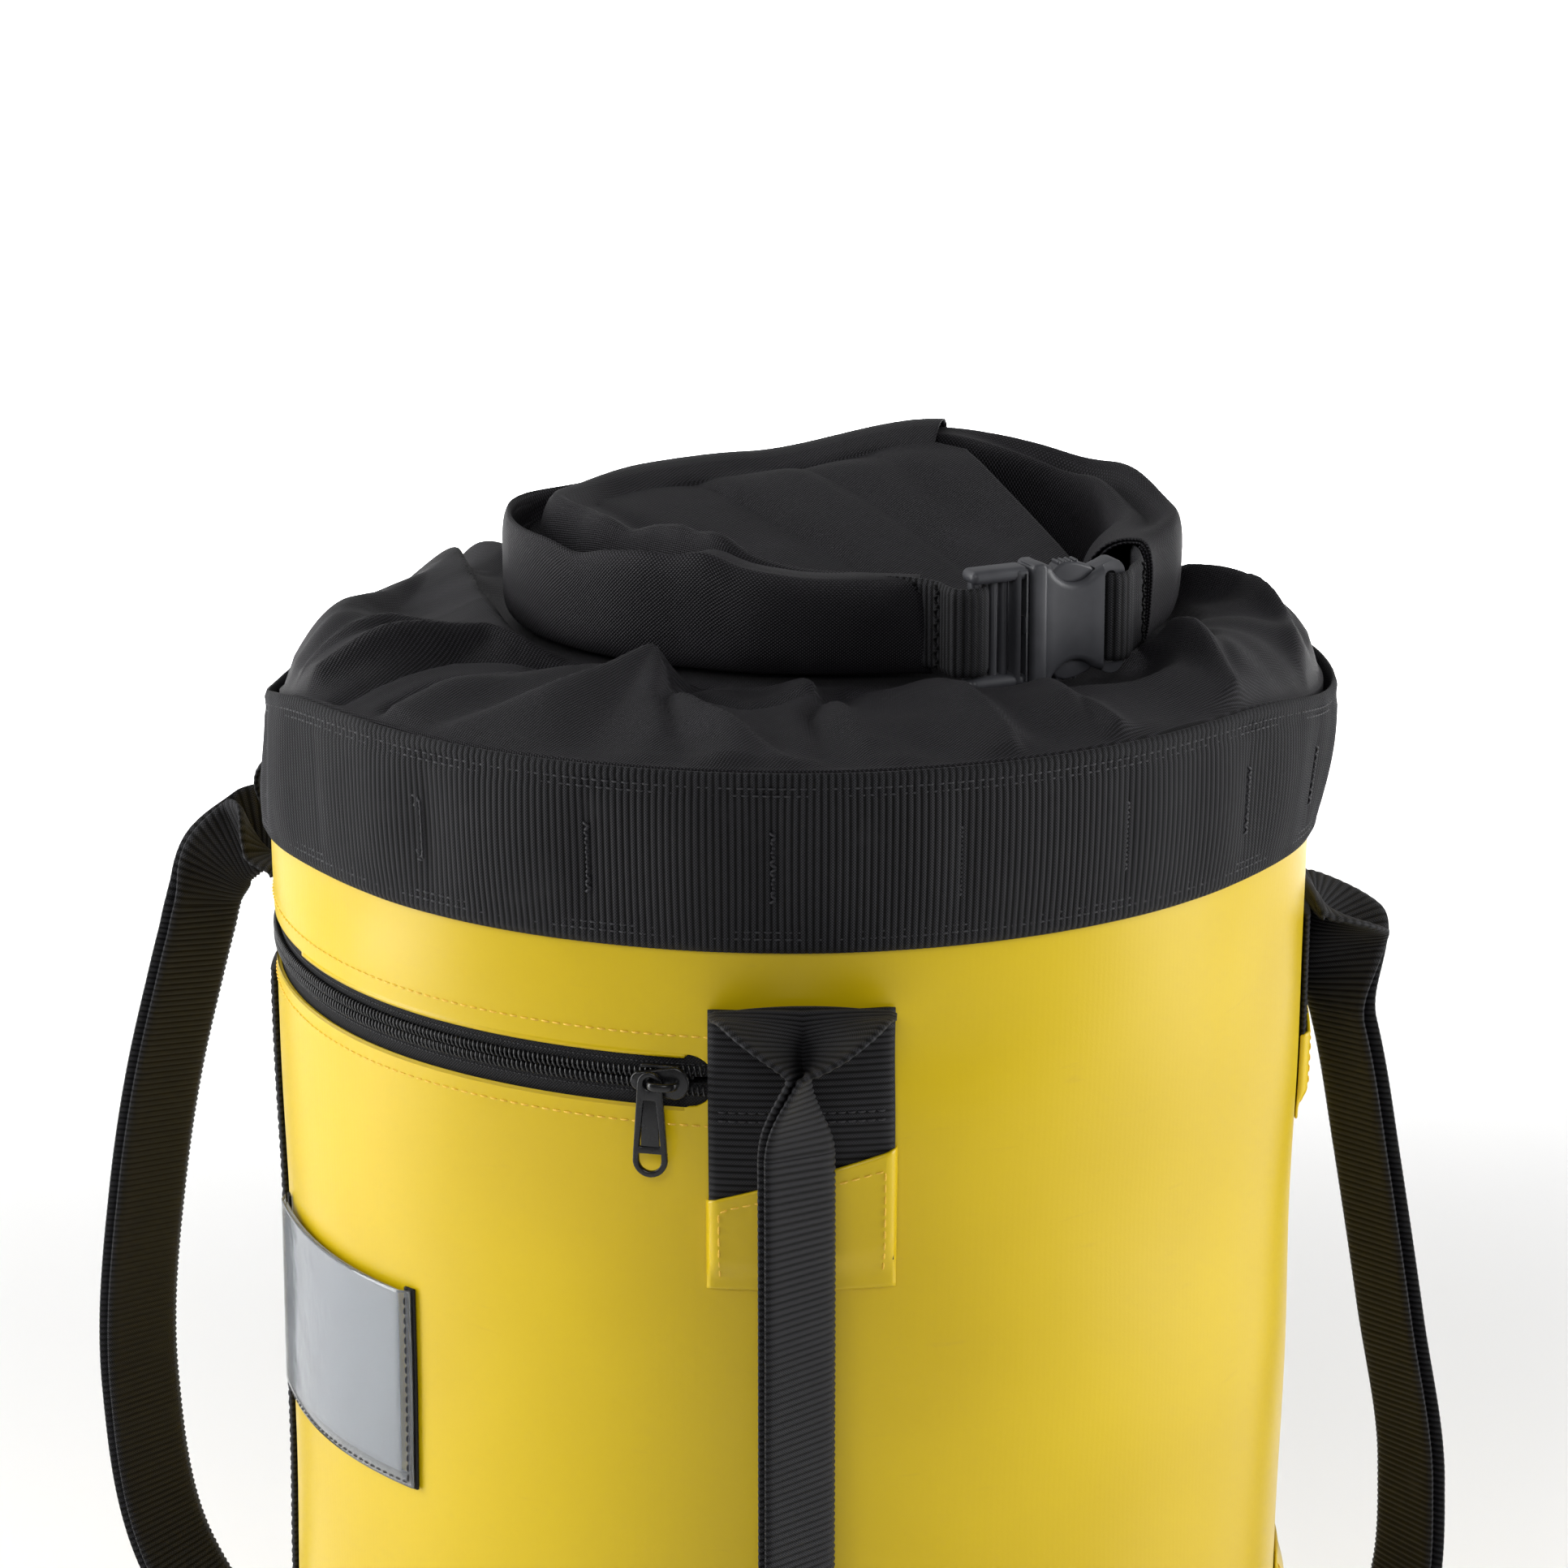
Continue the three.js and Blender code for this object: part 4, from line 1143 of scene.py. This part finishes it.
def make_strap(name):
    """The strap in three lengths: the middle rides on the strap's body, and its two ends stay in place
    between it and the bag.
    """
    grid, along = strap_grid(name)
    body = name.replace("handle", "strap")
    pitch = along[-1] / round(along[-1] / RIB_PITCH)
    cut = round(STRAP_END / pitch) * pitch  # whole ribs, so that they go on past the joins
    rows = len(grid)
    first = round(cut * (rows - 1) / along[-1])
    last = rows - first - 1
    spans = {"upper_turn": (0, first + 1), "strap_webbing": (first, last + 1), "lower_turn": (last, rows)}
    for part, (start, stop) in spans.items():
        piece = strip(f"{name}_{part}", grid[start:stop], WEBBING, WEB, rib=pitch, rib_height=0.5 * MM)
        if part == "strap_webbing":
            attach(piece, body)
            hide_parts(f"{name}_strap")
        else:
            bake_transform(piece)
    tack_rows = []
    for index in (first + 6, last - 6):
        front = grid[index, 17:27]
        normal = grid_normals(grid[index - 1:index + 2])[1, 17:27]
        across = resampled(front + normal * (WEBBING / 2 + 0.3 * MM), 0.6 * MM)
        up = unit(grid[index + 4, 20] - grid[index - 4, 20])
        side = np.where(np.arange(len(across)) % 2, 1, -1)[:, None] * up * 0.9 * MM
        tack_rows.append((across + side, np.repeat(normal[4:5], len(across), axis=0)))
    keep(stitches(f"{name}_bar_tacks", tack_rows, BLACK_THREAD, 1.9 * MM, 0.9, 0.34 * MM), body, "webbing")


def make_patches(name):
    """The handle's two webbing patches, with two rows of stitching across each."""
    azimuth = HANDLES[name]
    half = degrees_of(HANDLE_HALF)
    for place in ("upper", "lower"):
        node = f"{name}_{place}_patch"
        low, high = span_of(node)
        if place == "upper":
            high = (STRAPS[name]["path"][0][1] + 1.5) * MM
        across = azimuth + np.linspace(-half, half, 25)
        grid = upright(across, np.arange(low, high, RIB_PITCH / 6), 0.4 * MM + WEBBING / 2)
        patch = strip(f"{node}_webbing", grid, WEBBING, WEB, rib=RIB_PITCH, rib_height=0.3 * MM)
        keep(patch, "bag", "webbing", node)
        azimuths = azimuth + np.linspace(-half * 0.9, half * 0.9, 30)
        seam_z = high - 31 * MM if place == "upper" else low + 31 * MM
        rows = [seam_on_wall(azimuths, seam_z + step * MM, 2.3 * MM) for step in (0, 2.5)]
        keep(stitches(f"{node}_stitches", rows, BLACK_THREAD, 2.6 * MM), "bag", "webbing")
        make_cover(name, place)


def cover_place(name, place, across, up):
    """A place on a cover, given from -1 to 1 across and 0 to 1 up, as azimuth, height and lift. The cover
    lies on the wall along its edges and past the patch, and on the patch between."""
    low, high = span_of(f"{name}_{place}_cover")
    slant = COVER_SLANT / 2
    if place == "upper":
        foot, top, on_patch = low, high - slant + slant * across, up
    else:
        foot, top, on_patch = low + slant + slant * across, high, 1 - up
    lift = 0.65 * MM + 2.35 * MM * smoothstep(1.0, 0.9, np.abs(across)) * smoothstep(0.1, 0.34, on_patch)
    return HANDLES[name] + degrees_of(COVER_HALF) * across, foot + (top - foot) * up, lift


def make_cover(name, place):
    """The tarpaulin cover over the end of a patch, sewn along its two sides and its inner end."""
    node = f"{name}_{place}_cover"
    up, across = np.meshgrid(np.linspace(0, 1, 36), np.linspace(1, -1, 41), indexing="ij")
    grid = on_wall(*cover_place(name, place, across, up))
    keep(strip(f"{node}_tarpaulin", grid, 1.0 * MM, TARPAULIN), "bag", "tarpaulin", node)
    low, high = span_of(node)
    side = 1 - 4 / 27.5  # how far across the seam's legs are
    end = 4 * MM / (high - low - COVER_SLANT / 2)
    end = 1 - end if place == "upper" else end
    corners = [(-side, 1 - end), (-side, end), (side, end), (side, 1 - end)]
    azimuth, height, lift = cover_place(name, place, *joined_up(corners, 40).T)
    seam = seam_on_wall(azimuth, height, lift + 0.6 * MM)
    keep(stitches(f"{node}_stitches", [seam], YELLOW_THREAD), "bag", "tarpaulin")


# ---- Zip pocket ----
def make_tapes():
    """The zip's two tapes behind the window, with the yellow seams outside and the black ones on them."""
    lift = -1.7 * MM
    for place, sign in (("upper", 1), ("lower", -1)):
        near, far = sorted([ZIP_Z + sign * 0.9 * MM, ZIP_Z + sign * 14 * MM])
        grid = around(np.linspace(ZIP_FROM - 1, ZIP_TO + 1, 300), np.linspace(near, far, 16), lift)
        keep(strip(f"zip_tape_{place}_cloth", grid, 0.7 * MM, TAPE), "bag", "zip_tape", f"zip_tape_{place}")
        azimuths = np.linspace(ZIP_FROM - 1, ZIP_TO + 1.2, 260)
        seam = seam_on_wall(azimuths, ZIP_Z + sign * 12.6 * MM, 0.12 * MM)
        keep(stitches(f"zip_seam_{place}", [seam], YELLOW_THREAD), "bag", "tarpaulin")
        seam = seam_on_wall(azimuths, ZIP_Z + sign * 4.3 * MM, lift + 0.45 * MM)
        row = stitches(f"zip_tape_stitches_{place}", [seam], BLACK_THREAD, 1.4 * MM, 0.85, 0.2 * MM)
        keep(row, "bag", "zip_tape")


def make_coils():
    """Each coil is one wire wound along the tape, flattened, with its turns between the other's."""
    pitch = 1.5 * MM
    steps, sides = 12, 6  # points in a turn, and round the wire
    reach = ZIP_TO - ZIP_FROM - 2
    count = round(math.radians(reach) * RADIUS / pitch) * steps
    azimuth = ZIP_FROM + 1 + np.arange(count) / count * reach
    around_wire = np.linspace(0, 2 * math.pi, sides, endpoint=False)[:, None]
    for place, sign in (("upper", 1), ("lower", -1)):
        phase = 2 * math.pi * np.arange(count) / steps + (0 if place == "upper" else math.pi)
        apart = 1.3 * MM * smoothstep(SLIDER_AZIMUTH, SLIDER_AZIMUTH + 2.5, azimuth)
        height = ZIP_Z + sign * (1.45 * MM + apart) + 1.35 * MM * np.cos(phase)
        line = on_wall(azimuth, height, -0.5 * MM + 0.85 * MM * np.sin(phase))
        run = unit(np.gradient(line, axis=0))
        out = radial(azimuth)
        side = unit(np.cross(run, out))
        out = np.cross(side, run)
        rings = side[:, None] * np.cos(around_wire) + out[:, None] * np.sin(around_wire)
        faces = grid_faces(count, sides, False, True)
        coil = build(f"zip_coil_{place}_wire", line[:, None] + 0.33 * MM * rings, faces, COIL)
        keep(coil, "bag", "zip_coil", f"zip_coil_{place}")


def make_pocket_lining():
    """The panel behind the zip: a shallow tray, its edges joined to the wall."""
    low, high = span_of("zip_pocket_lining")
    start, stop = ZIP_FROM - 5, ZIP_TO + 5
    azimuth, height = np.meshgrid(np.linspace(start, stop, 120), np.linspace(low, high, 60), indexing="ij")
    to_side = np.minimum(azimuth - start, stop - azimuth) * math.radians(1) * RADIUS
    to_edge = np.minimum(to_side, np.minimum(height - low, high - height))
    lift = -3.4 * MM - 7.2 * MM * smoothstep(0, 12 * MM, to_edge)
    wave = np.sin(azimuth / 5) * np.sin(height / (11 * MM)) * smoothstep(0, 20 * MM, to_edge)
    lift = lift + 0.5 * MM * wave
    grid = on_wall(azimuth, height, lift)
    keep(strip("zip_pocket_panel", grid, 0.6 * MM, LINING), "bag", "lining", "zip_pocket_lining")


# ---- Small moulded parts ----
def arc(x, y, radius, start, stop, steps):
    """Points of an arc about x and y, between two angles in degrees."""
    angles = np.radians(np.linspace(start, stop, steps))
    return [(x + radius * math.cos(a), y + radius * math.sin(a)) for a in angles]


def rounded_box(x0, y0, x1, y1, radius, steps=6):
    """A rectangle's outline with round corners, turning anticlockwise."""
    left, right, foot, top = x0 + radius, x1 - radius, y0 + radius, y1 - radius
    corners = [(right, foot, -90), (right, top, 0), (left, top, 90), (left, foot, 180)]
    return [p for x, y, start in corners for p in arc(x, y, radius, start, start + 90, steps)]


def inset(outline, distance):
    """An anticlockwise outline moved inwards; an opening is given clockwise, and grows."""
    points = np.asarray(outline, float)
    before, after = np.roll(points, 1, axis=0), np.roll(points, -1, axis=0)
    run = unit(unit(points - before) + unit(after - points))
    return points + beside(run) * distance


def moulded(name, outlines, half, rounding, material):
    """A flat moulding of half thickness `half`: its outline first, then its openings turned clockwise.
    Both faces have rounded edges. It is drawn in millimetres in X and Y, with its thickness along Z."""
    bm = bmesh.new()
    caps = {1: [], -1: []}
    edge = arc(rounding, half - rounding, rounding, 180, 90, 4)
    levels = [(d, -z) for d, z in edge[::-1]] + edge
    for outline in outlines:
        rings = [[bm.verts.new((x * MM, y * MM, z * MM)) for x, y in inset(outline, d)] for d, z in levels]
        count = len(outline)
        for lower, upper in zip(rings[:-1], rings[1:]):
            for i in range(count):
                j = (i + 1) % count
                bm.faces.new([lower[i], lower[j], upper[j], upper[i]])
        for sign, ring in ((-1, rings[0]), (1, rings[-1])):
            for i in range(count):
                caps[sign].append(bm.edges.get([ring[i], ring[(i + 1) % count]]))
    for sign, edges in caps.items():
        bmesh.ops.triangle_fill(bm, edges=edges, use_beauty=True, use_dissolve=False, normal=(0, 0, sign))
    bmesh.ops.recalc_face_normals(bm, faces=bm.faces)
    mesh = bpy.data.meshes.new(name)
    bm.to_mesh(mesh)
    bm.free()
    return placed_mesh(name, mesh, material, sharp=50)


def merged(name, pieces):
    """Joins pieces into one object."""
    bm = bmesh.new()
    for piece in pieces:
        bm.from_mesh(piece.data)
    bm.to_mesh(pieces[0].data)
    bm.free()
    for piece in pieces[1:]:
        bpy.data.objects.remove(piece)
    pieces[0].name = name
    return pieces[0]


def carved(piece, *cutters):
    """Cuts the cutters out of a piece and removes them."""
    for cutter in cutters:
        cut = piece.modifiers.new("cut", "BOOLEAN")
        cut.object = cutter
        cut.solver = "EXACT"
        bpy.context.view_layer.update()
        finished = piece.evaluated_get(bpy.context.evaluated_depsgraph_get())
        mesh = bpy.data.meshes.new_from_object(finished)
        piece.modifiers.remove(cut)
        piece.data = mesh
        bpy.data.objects.remove(cutter)
    piece.data.shade_smooth()
    piece.data.set_sharp_from_angle(angle=math.radians(40))
    return piece


BUCKLE_MOUTH = Vector((64.5, -73, 449.5)) * MM
BUCKLE_HEADING = math.radians(25)
BUCKLE_BARS = [(-17.2, 3.0), (-11.2, 2.2), (-8.0, 2.2)]  # the plug's cross bars: start and width


def placed_buckle(piece):
    """Stands a moulding, drawn with X along the buckle and Y up, in the buckle's place."""
    turn = Matrix.Rotation(BUCKLE_HEADING, 4, "Z") @ Matrix.Rotation(math.pi / 2, 4, "X")
    piece.data.transform(Matrix.Translation(BUCKLE_MOUTH) @ turn)
    return piece


def socket_outline():
    """The socket seen from its front: a flared collar, a round window in each long edge, a narrow end."""
    upper = [(0, 17.2), (4.6, 16.9), *arc(13.4, 18.6, 7.4, 200, 318, 16), *arc(25.4, 12.2, 4.0, 96, 0, 8)]
    return [(x, -y) for x, y in upper] + upper[::-1]


def make_socket():
    """The hollow socket with its collar; its webbing end is thinner and has a slot for the tail."""
    socket = moulded("buckle_socket_body", [socket_outline()], 4.75, 2.2, PLASTIC)
    cavity = moulded("cavity", [rounded_box(-3, -14.8, 20.5, 14.8, 1.5)], 3.1, 0.8, PLASTIC)
    slot = moulded("slot", [rounded_box(23.4, -13.1, 26.4, 13.1, 1.2)], 9, 0.4, PLASTIC)
    thinned = [moulded("thinned", [rounded_box(22.2, -20, 34, 20, 0.8)], 3.0, 0.5, PLASTIC) for _ in range(2)]
    for cutter, depth in zip(thinned, (6 * MM, -6 * MM)):
        cutter.data.transform(Matrix.Translation((0, 0, depth)))
    carved(socket, cavity, slot, *thinned)
    collar = moulded("collar", [rounded_box(-0.2, -17.6, 4.4, 17.6, 1.6)], 5.3, 1.0, PLASTIC)
    carved(collar, moulded("cavity", [rounded_box(-3, -14.8, 9, 14.8, 1.5)], 3.1, 0.8, PLASTIC))
    socket = placed_buckle(merged("buckle_socket_body", [socket, collar]))
    keep(socket, "bag", "buckle_plastic", "buckle_socket")


def make_plug():
    """The plug: two side rails, cross bars for the tail, a shoulder and a guide post."""
    rails = [[rounded_box(-18, y - 2.0, -0.5, y + 2.0, 1.9)] for y in (-15.1, 15.1)]
    bars = [[rounded_box(x, -14, x + width, 14, 0.6)] for x, width in BUCKLE_BARS]
    guide = [(-1, -2.4), (13, -2.4), *arc(14, 0, 2, -60, 60, 6), (13, 2.4), (-1, 2.4)]
    parts = [moulded("rail", rail, 3.9, 1.8, PLASTIC) for rail in rails]
    parts += [moulded("bar", bar, 1.7, 0.9, PLASTIC) for bar in bars]
    parts.append(moulded("guide", [guide], 2.3, 0.7, PLASTIC))
    parts.append(moulded("shoulder", [rounded_box(-4.6, -16.4, -0.5, 16.4, 1.2)], 4.3, 1.2, PLASTIC))
    keep(placed_buckle(merged("buckle_plug_body", parts)), "plug", "buckle_plastic", "buckle_plug")


def make_arms():
    """The plug's two springing arms, each with ridges on its head for the fingers."""
    arm = [
        (0.5, 9.8), (14, 9.8), (19.2, 10.4), *arc(17.6, 12.6, 2.6, -30, 60, 6), (14.6, 16.4), (11.4, 16.8),
        (8.8, 16.0), (7.4, 14.6), (6.4, 13.9), (0.5, 13.9),
    ]
    for place, sign in (("upper", 1), ("lower", -1)):
        outline = [(x, sign * y) for x, y in arm][::sign]
        parts = [moulded(f"buckle_arm_{place}_moulding", [outline], 2.6, 0.9, PLASTIC)]
        foot = sign * 16.2 - 0.7
        for x in (9.4, 11.2, 13.0, 14.8):
            ridge = rounded_box(x - 0.45, foot, x + 0.45, foot + 1.6, 0.4)
            parts.append(moulded("ridge", [ridge], 2.0, 0.35, PLASTIC))
        arm_piece = placed_buckle(merged(f"buckle_arm_{place}_moulding", parts))
        keep(arm_piece, f"arm_{place}", "buckle_plastic", f"buckle_arm_{place}")


def beside_buckle(along, out):
    """A plan place in millimetres, by the buckle's length and its distance in front of the middle."""
    heading = np.array([math.cos(BUCKLE_HEADING), math.sin(BUCKLE_HEADING)])
    forward = np.array([heading[1], -heading[0]])
    return tuple(np.array(BUCKLE_MOUTH.xy) / MM + heading * along + forward * out)


# Where each tail's rows of bar tacks are, as shares of its length.
TAIL_TACKS = {"left_tail": (0.24, 0.46), "right_tail": (0.62,)}
# The tails' plan routes. The left one leaves the roll and turns round the plug's first bar; the right
# one turns round the socket's end bar and goes back into the roll.
TAILS = {
    "left_tail": [
        (26, -68.5), (34, -70.3), (40, -74.5), beside_buckle(-21, 2.2), beside_buckle(-17.5, 3.3),
        beside_buckle(-14.6, 3.2), beside_buckle(-12.8, 1.6), beside_buckle(-12.4, -0.8),
    ],
    "right_tail": [
        beside_buckle(22.9, -0.6), beside_buckle(23.6, 2.6), beside_buckle(26.4, 4.1),
        beside_buckle(29.6, 3.4), (94.5, -57), (97.2, -49), (97.6, -41), (96.6, -33),
    ],
}


def make_tails():
    """The buckle's two webbing tails. The left one reaches from the bag to the sliding plug."""
    half = 12.4 * MM
    middle = BUCKLE_MOUTH.z
    heights = np.linspace(-half, half, 16)
    for name, route in TAILS.items():
        path = smooth_path(np.array(route) * MM, 0.34 * MM)
        run = unit(np.gradient(path, axis=0))
        out = -beside(run)
        grid = fence(path, middle + heights)
        layers = [strip(name, grid, 1.7 * MM, WEB, rib=1.9 * MM, rib_height=0.36 * MM)]
        seams = []
        rows = 13
        for share in TAIL_TACKS[name]:
            index = round(share * (len(path) - 1))
            level = middle + np.linspace(-half * 0.94, half * 0.94, rows)
            sideways = np.where(np.arange(rows) % 2, 1, -1)[:, None] * run[index] * 1.5 * MM
            line = np.column_stack([path[index] + out[index] * 1.25 * MM + sideways, level])
            seams.append((line, np.tile([*out[index], 0], (rows, 1))))
        layers.append(stitches(f"{name}_tacks", seams, BLACK_THREAD, 2.4 * MM, 0.9, 0.45 * MM))
        piece = merged(f"{name}_web", layers)
        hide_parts(f"{name}_webbing")
        if name == "left_tail":
            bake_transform(piece)
        else:
            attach(piece, "bag")


def placed_slider(piece, depth):
    """Stands a moulding, drawn with X to the right and Y up, before the zip at the slider's azimuth."""
    piece.data.transform(Matrix.Translation((0, 0, depth * MM)))
    turn = Matrix.Rotation(math.radians(SLIDER_AZIMUTH), 4, "Z")
    stand = Matrix.Translation((0, -RADIUS, ZIP_Z)) @ Matrix.Rotation(math.pi / 2, 4, "X")
    piece.data.transform(turn @ stand)
    return piece


def slider_bridge():
    """The arched wire over the slider's front plate, which holds the pull."""
    line = [(-2.5, 2.4), (-2.6, 4.6), (-1.8, 6.1), (0.6, 6.6), (3.2, 6.2), (4.4, 4.8), (4.4, 2.4)]
    path = smooth_path(line, 0.5)
    turn = np.linspace(0, 2 * math.pi, 14, endpoint=False)
    side = 0.75 * signed_power(np.cos(turn), 0.7)
    up = 1.15 * signed_power(np.sin(turn), 0.7)
    rings = []
    for (x, depth), (run_x, run_depth) in zip(path, unit(np.gradient(path, axis=0))):
        rings.append(np.stack([x - run_depth * side, up, depth + run_x * side], axis=1))
    faces = grid_faces(len(rings), len(turn), False, True)
    return placed_slider(build("bridge", np.array(rings) * MM, faces, METAL), 0)


def make_slider():
    """The slider: two shield-shaped plates with a post and flanges between, and a bridge over them."""
    shield = [(-6.5, -2.6), *arc(3.2, 0, 4.7, -80, 80, 14), (-6.5, 2.6), *arc(-5.6, 0, 2.8, 110, 250, 7)]
    front = placed_slider(moulded("front", [shield], 0.95, 0.6, METAL), 1.8)
    back = placed_slider(moulded("back", [shield], 0.6, 0.4, METAL), -4.0)
    post = placed_slider(moulded("post", [rounded_box(2.2, -0.5, 5.2, 0.5, 0.3, 3)], 2.8, 0.2, METAL), -1.4)
    flanges = []
    for y in (-4.2, 4.2):
        flange = moulded("flange", [rounded_box(-5.6, y - 0.5, 5.0, y + 0.5, 0.4, 3)], 1.0, 0.3, METAL)
        flanges.append(placed_slider(flange, 0.9))
    slider = merged("zip_slider_body", [front, back, post, *flanges, slider_bridge()])
    keep(slider, "zip_slider", "zip_metal", "zip_slider")


def make_pull():
    """The pull: an eye for the bridge, a recess with a plain plate in it, and an open lower end."""
    x, foot = -2.5, -21.5
    outline = [*arc(x, 0, 3.4, 0, 180, 14), *arc(x, foot, 4.8, 180, 360, 18)]
    eye = arc(x, 0.2, 1.75, 360, 0, 17)[:-1]
    hole = [(x + 3.1, -19.6), *arc(x, foot, 3.1, 0, -180, 12), (x - 3.1, -19.6)]
    recess = [(x - 1.6, -4.6), (x + 1.6, -4.6), (x + 2.9, -17.6), (x - 2.9, -17.6)]
    recess = resampled(np.array([*recess, recess[0]]), 1.0)[:-1]
    rim = placed_slider(moulded("rim", [outline, eye, hole, recess], 0.8, 0.42, METAL), 4.0)
    panel = [(x - 2.6, -18.4), (x + 2.6, -18.4), (x + 1.9, -3.8), (x - 1.9, -3.8)]
    plate = placed_slider(moulded("plate", [panel], 0.4, 0.1, METAL), 4.0)
    keep(merged("zip_pull_body", [rim, plate]), "zip_pull", "zip_metal", "zip_pull")


# ---- Identity window ----
WINDOW = (-79.0, -44.6)  # azimuths of its two side edges
CARD_TRAVEL = 60 * MM
CARD_LIFT = 0.7 * MM
FILM_LIFT = 1.85 * MM


def card_rise(azimuth, height):
    """How far the wall falls away behind the card, which is straight along its height and its travel."""
    low, high = span_of("id_card")
    highest = wall_relief(azimuth[..., None], np.linspace(low, high + CARD_TRAVEL, 40)).max(axis=-1)
    return highest - wall_relief(azimuth, height)


def film_lift(azimuth, height):
    """The film is sewn down along three edges and clears the card inside them."""
    to_side = np.minimum(azimuth - WINDOW[0], WINDOW[1] - azimuth) * math.radians(1) * RADIUS
    to_foot = height - span_of("id_window_frame")[0]
    inside = smoothstep(0.5 * MM, 4.3 * MM, np.minimum(to_side, to_foot))
    return FILM_LIFT + inside * card_rise(azimuth, height)


def make_window_border():
    """The webbing border along the window's two sides and its foot."""
    low, high = span_of("id_window_frame")
    side, foot = 1.6, 4 * MM
    azimuth, height = np.meshgrid(np.linspace(*WINDOW, 140), np.linspace(low, high, 90), indexing="ij")
    grid = on_wall(azimuth, height, 0.8 * MM)
    faces = np.array(grid_faces(*grid.shape[:2]))
    middle = azimuth.ravel()[faces].mean(1)
    at_foot = height.ravel()[faces].mean(1) < low + foot
    on_border = (middle < WINDOW[0] + side) | (middle > WINDOW[1] - side) | at_foot
    border = part_of_grid("id_window_border", grid, faces[on_border], WEB)
    thicken(border, 0.8 * MM)
    keep(border, "bag", "webbing", "id_window_frame")


def window_places(inset, low, high, across, up):
    """Azimuths and heights of a grid inside the window, laid out as `upright` lays its grids."""
    azimuths = np.linspace(WINDOW[1] - inset, WINDOW[0] + inset, across)
    height, azimuth = np.meshgrid(np.linspace(low, high, up), azimuths, indexing="ij")
    return azimuth, height


def make_identity_window():
    """The clear window, open at its upper edge, and the blank card that slides out of it."""
    low, high = span_of("id_window_frame")
    make_window_border()
    places = window_places(0.2, low + 0.4 * MM, high - 0.4 * MM, 80, 60)
    film = strip("id_window_film", on_wall(*places, film_lift(*places)), 0.5 * MM, FILM)
    keep(film, "bag", "clear_film", "id_window")
    places = window_places(2, low + 4.5 * MM, high - 1 * MM, 40, 30)
    paper = on_wall(*places, CARD_LIFT + card_rise(*places))
    keep(strip("id_card_paper", paper, 0.45 * MM, CARD), "card", "card", "id_card")
    left, right = WINDOW[0] + 0.8, WINDOW[1] - 0.8
    heights = np.linspace(low + 2 * MM, high - 2 * MM, 40)
    lines = [(np.linspace(left, right, 60), np.full(60, heights[0]))]
    lines += [(np.full(40, azimuth), heights) for azimuth in (left, right)]
    rows = [seam_on_wall(*line, film_lift(*line) + 0.35 * MM) for line in lines]
    keep(stitches("id_window_stitches", rows, BLACK_THREAD, 3 * MM), "bag", "webbing")


# ---- The whole scene ----
add_camera()
add_studio()
make_wall()
make_base()
make_bands()
make_bar_tacks()
make_wall_strips()
make_skirt()
make_panel()
make_roll()
make_stiffener()
for handle in HANDLES:
    make_patches(handle)
    make_strap(handle)
make_tapes()
make_coils()
make_pocket_lining()
make_socket()
make_plug()
make_arms()
make_tails()
make_slider()
make_pull()
make_identity_window()
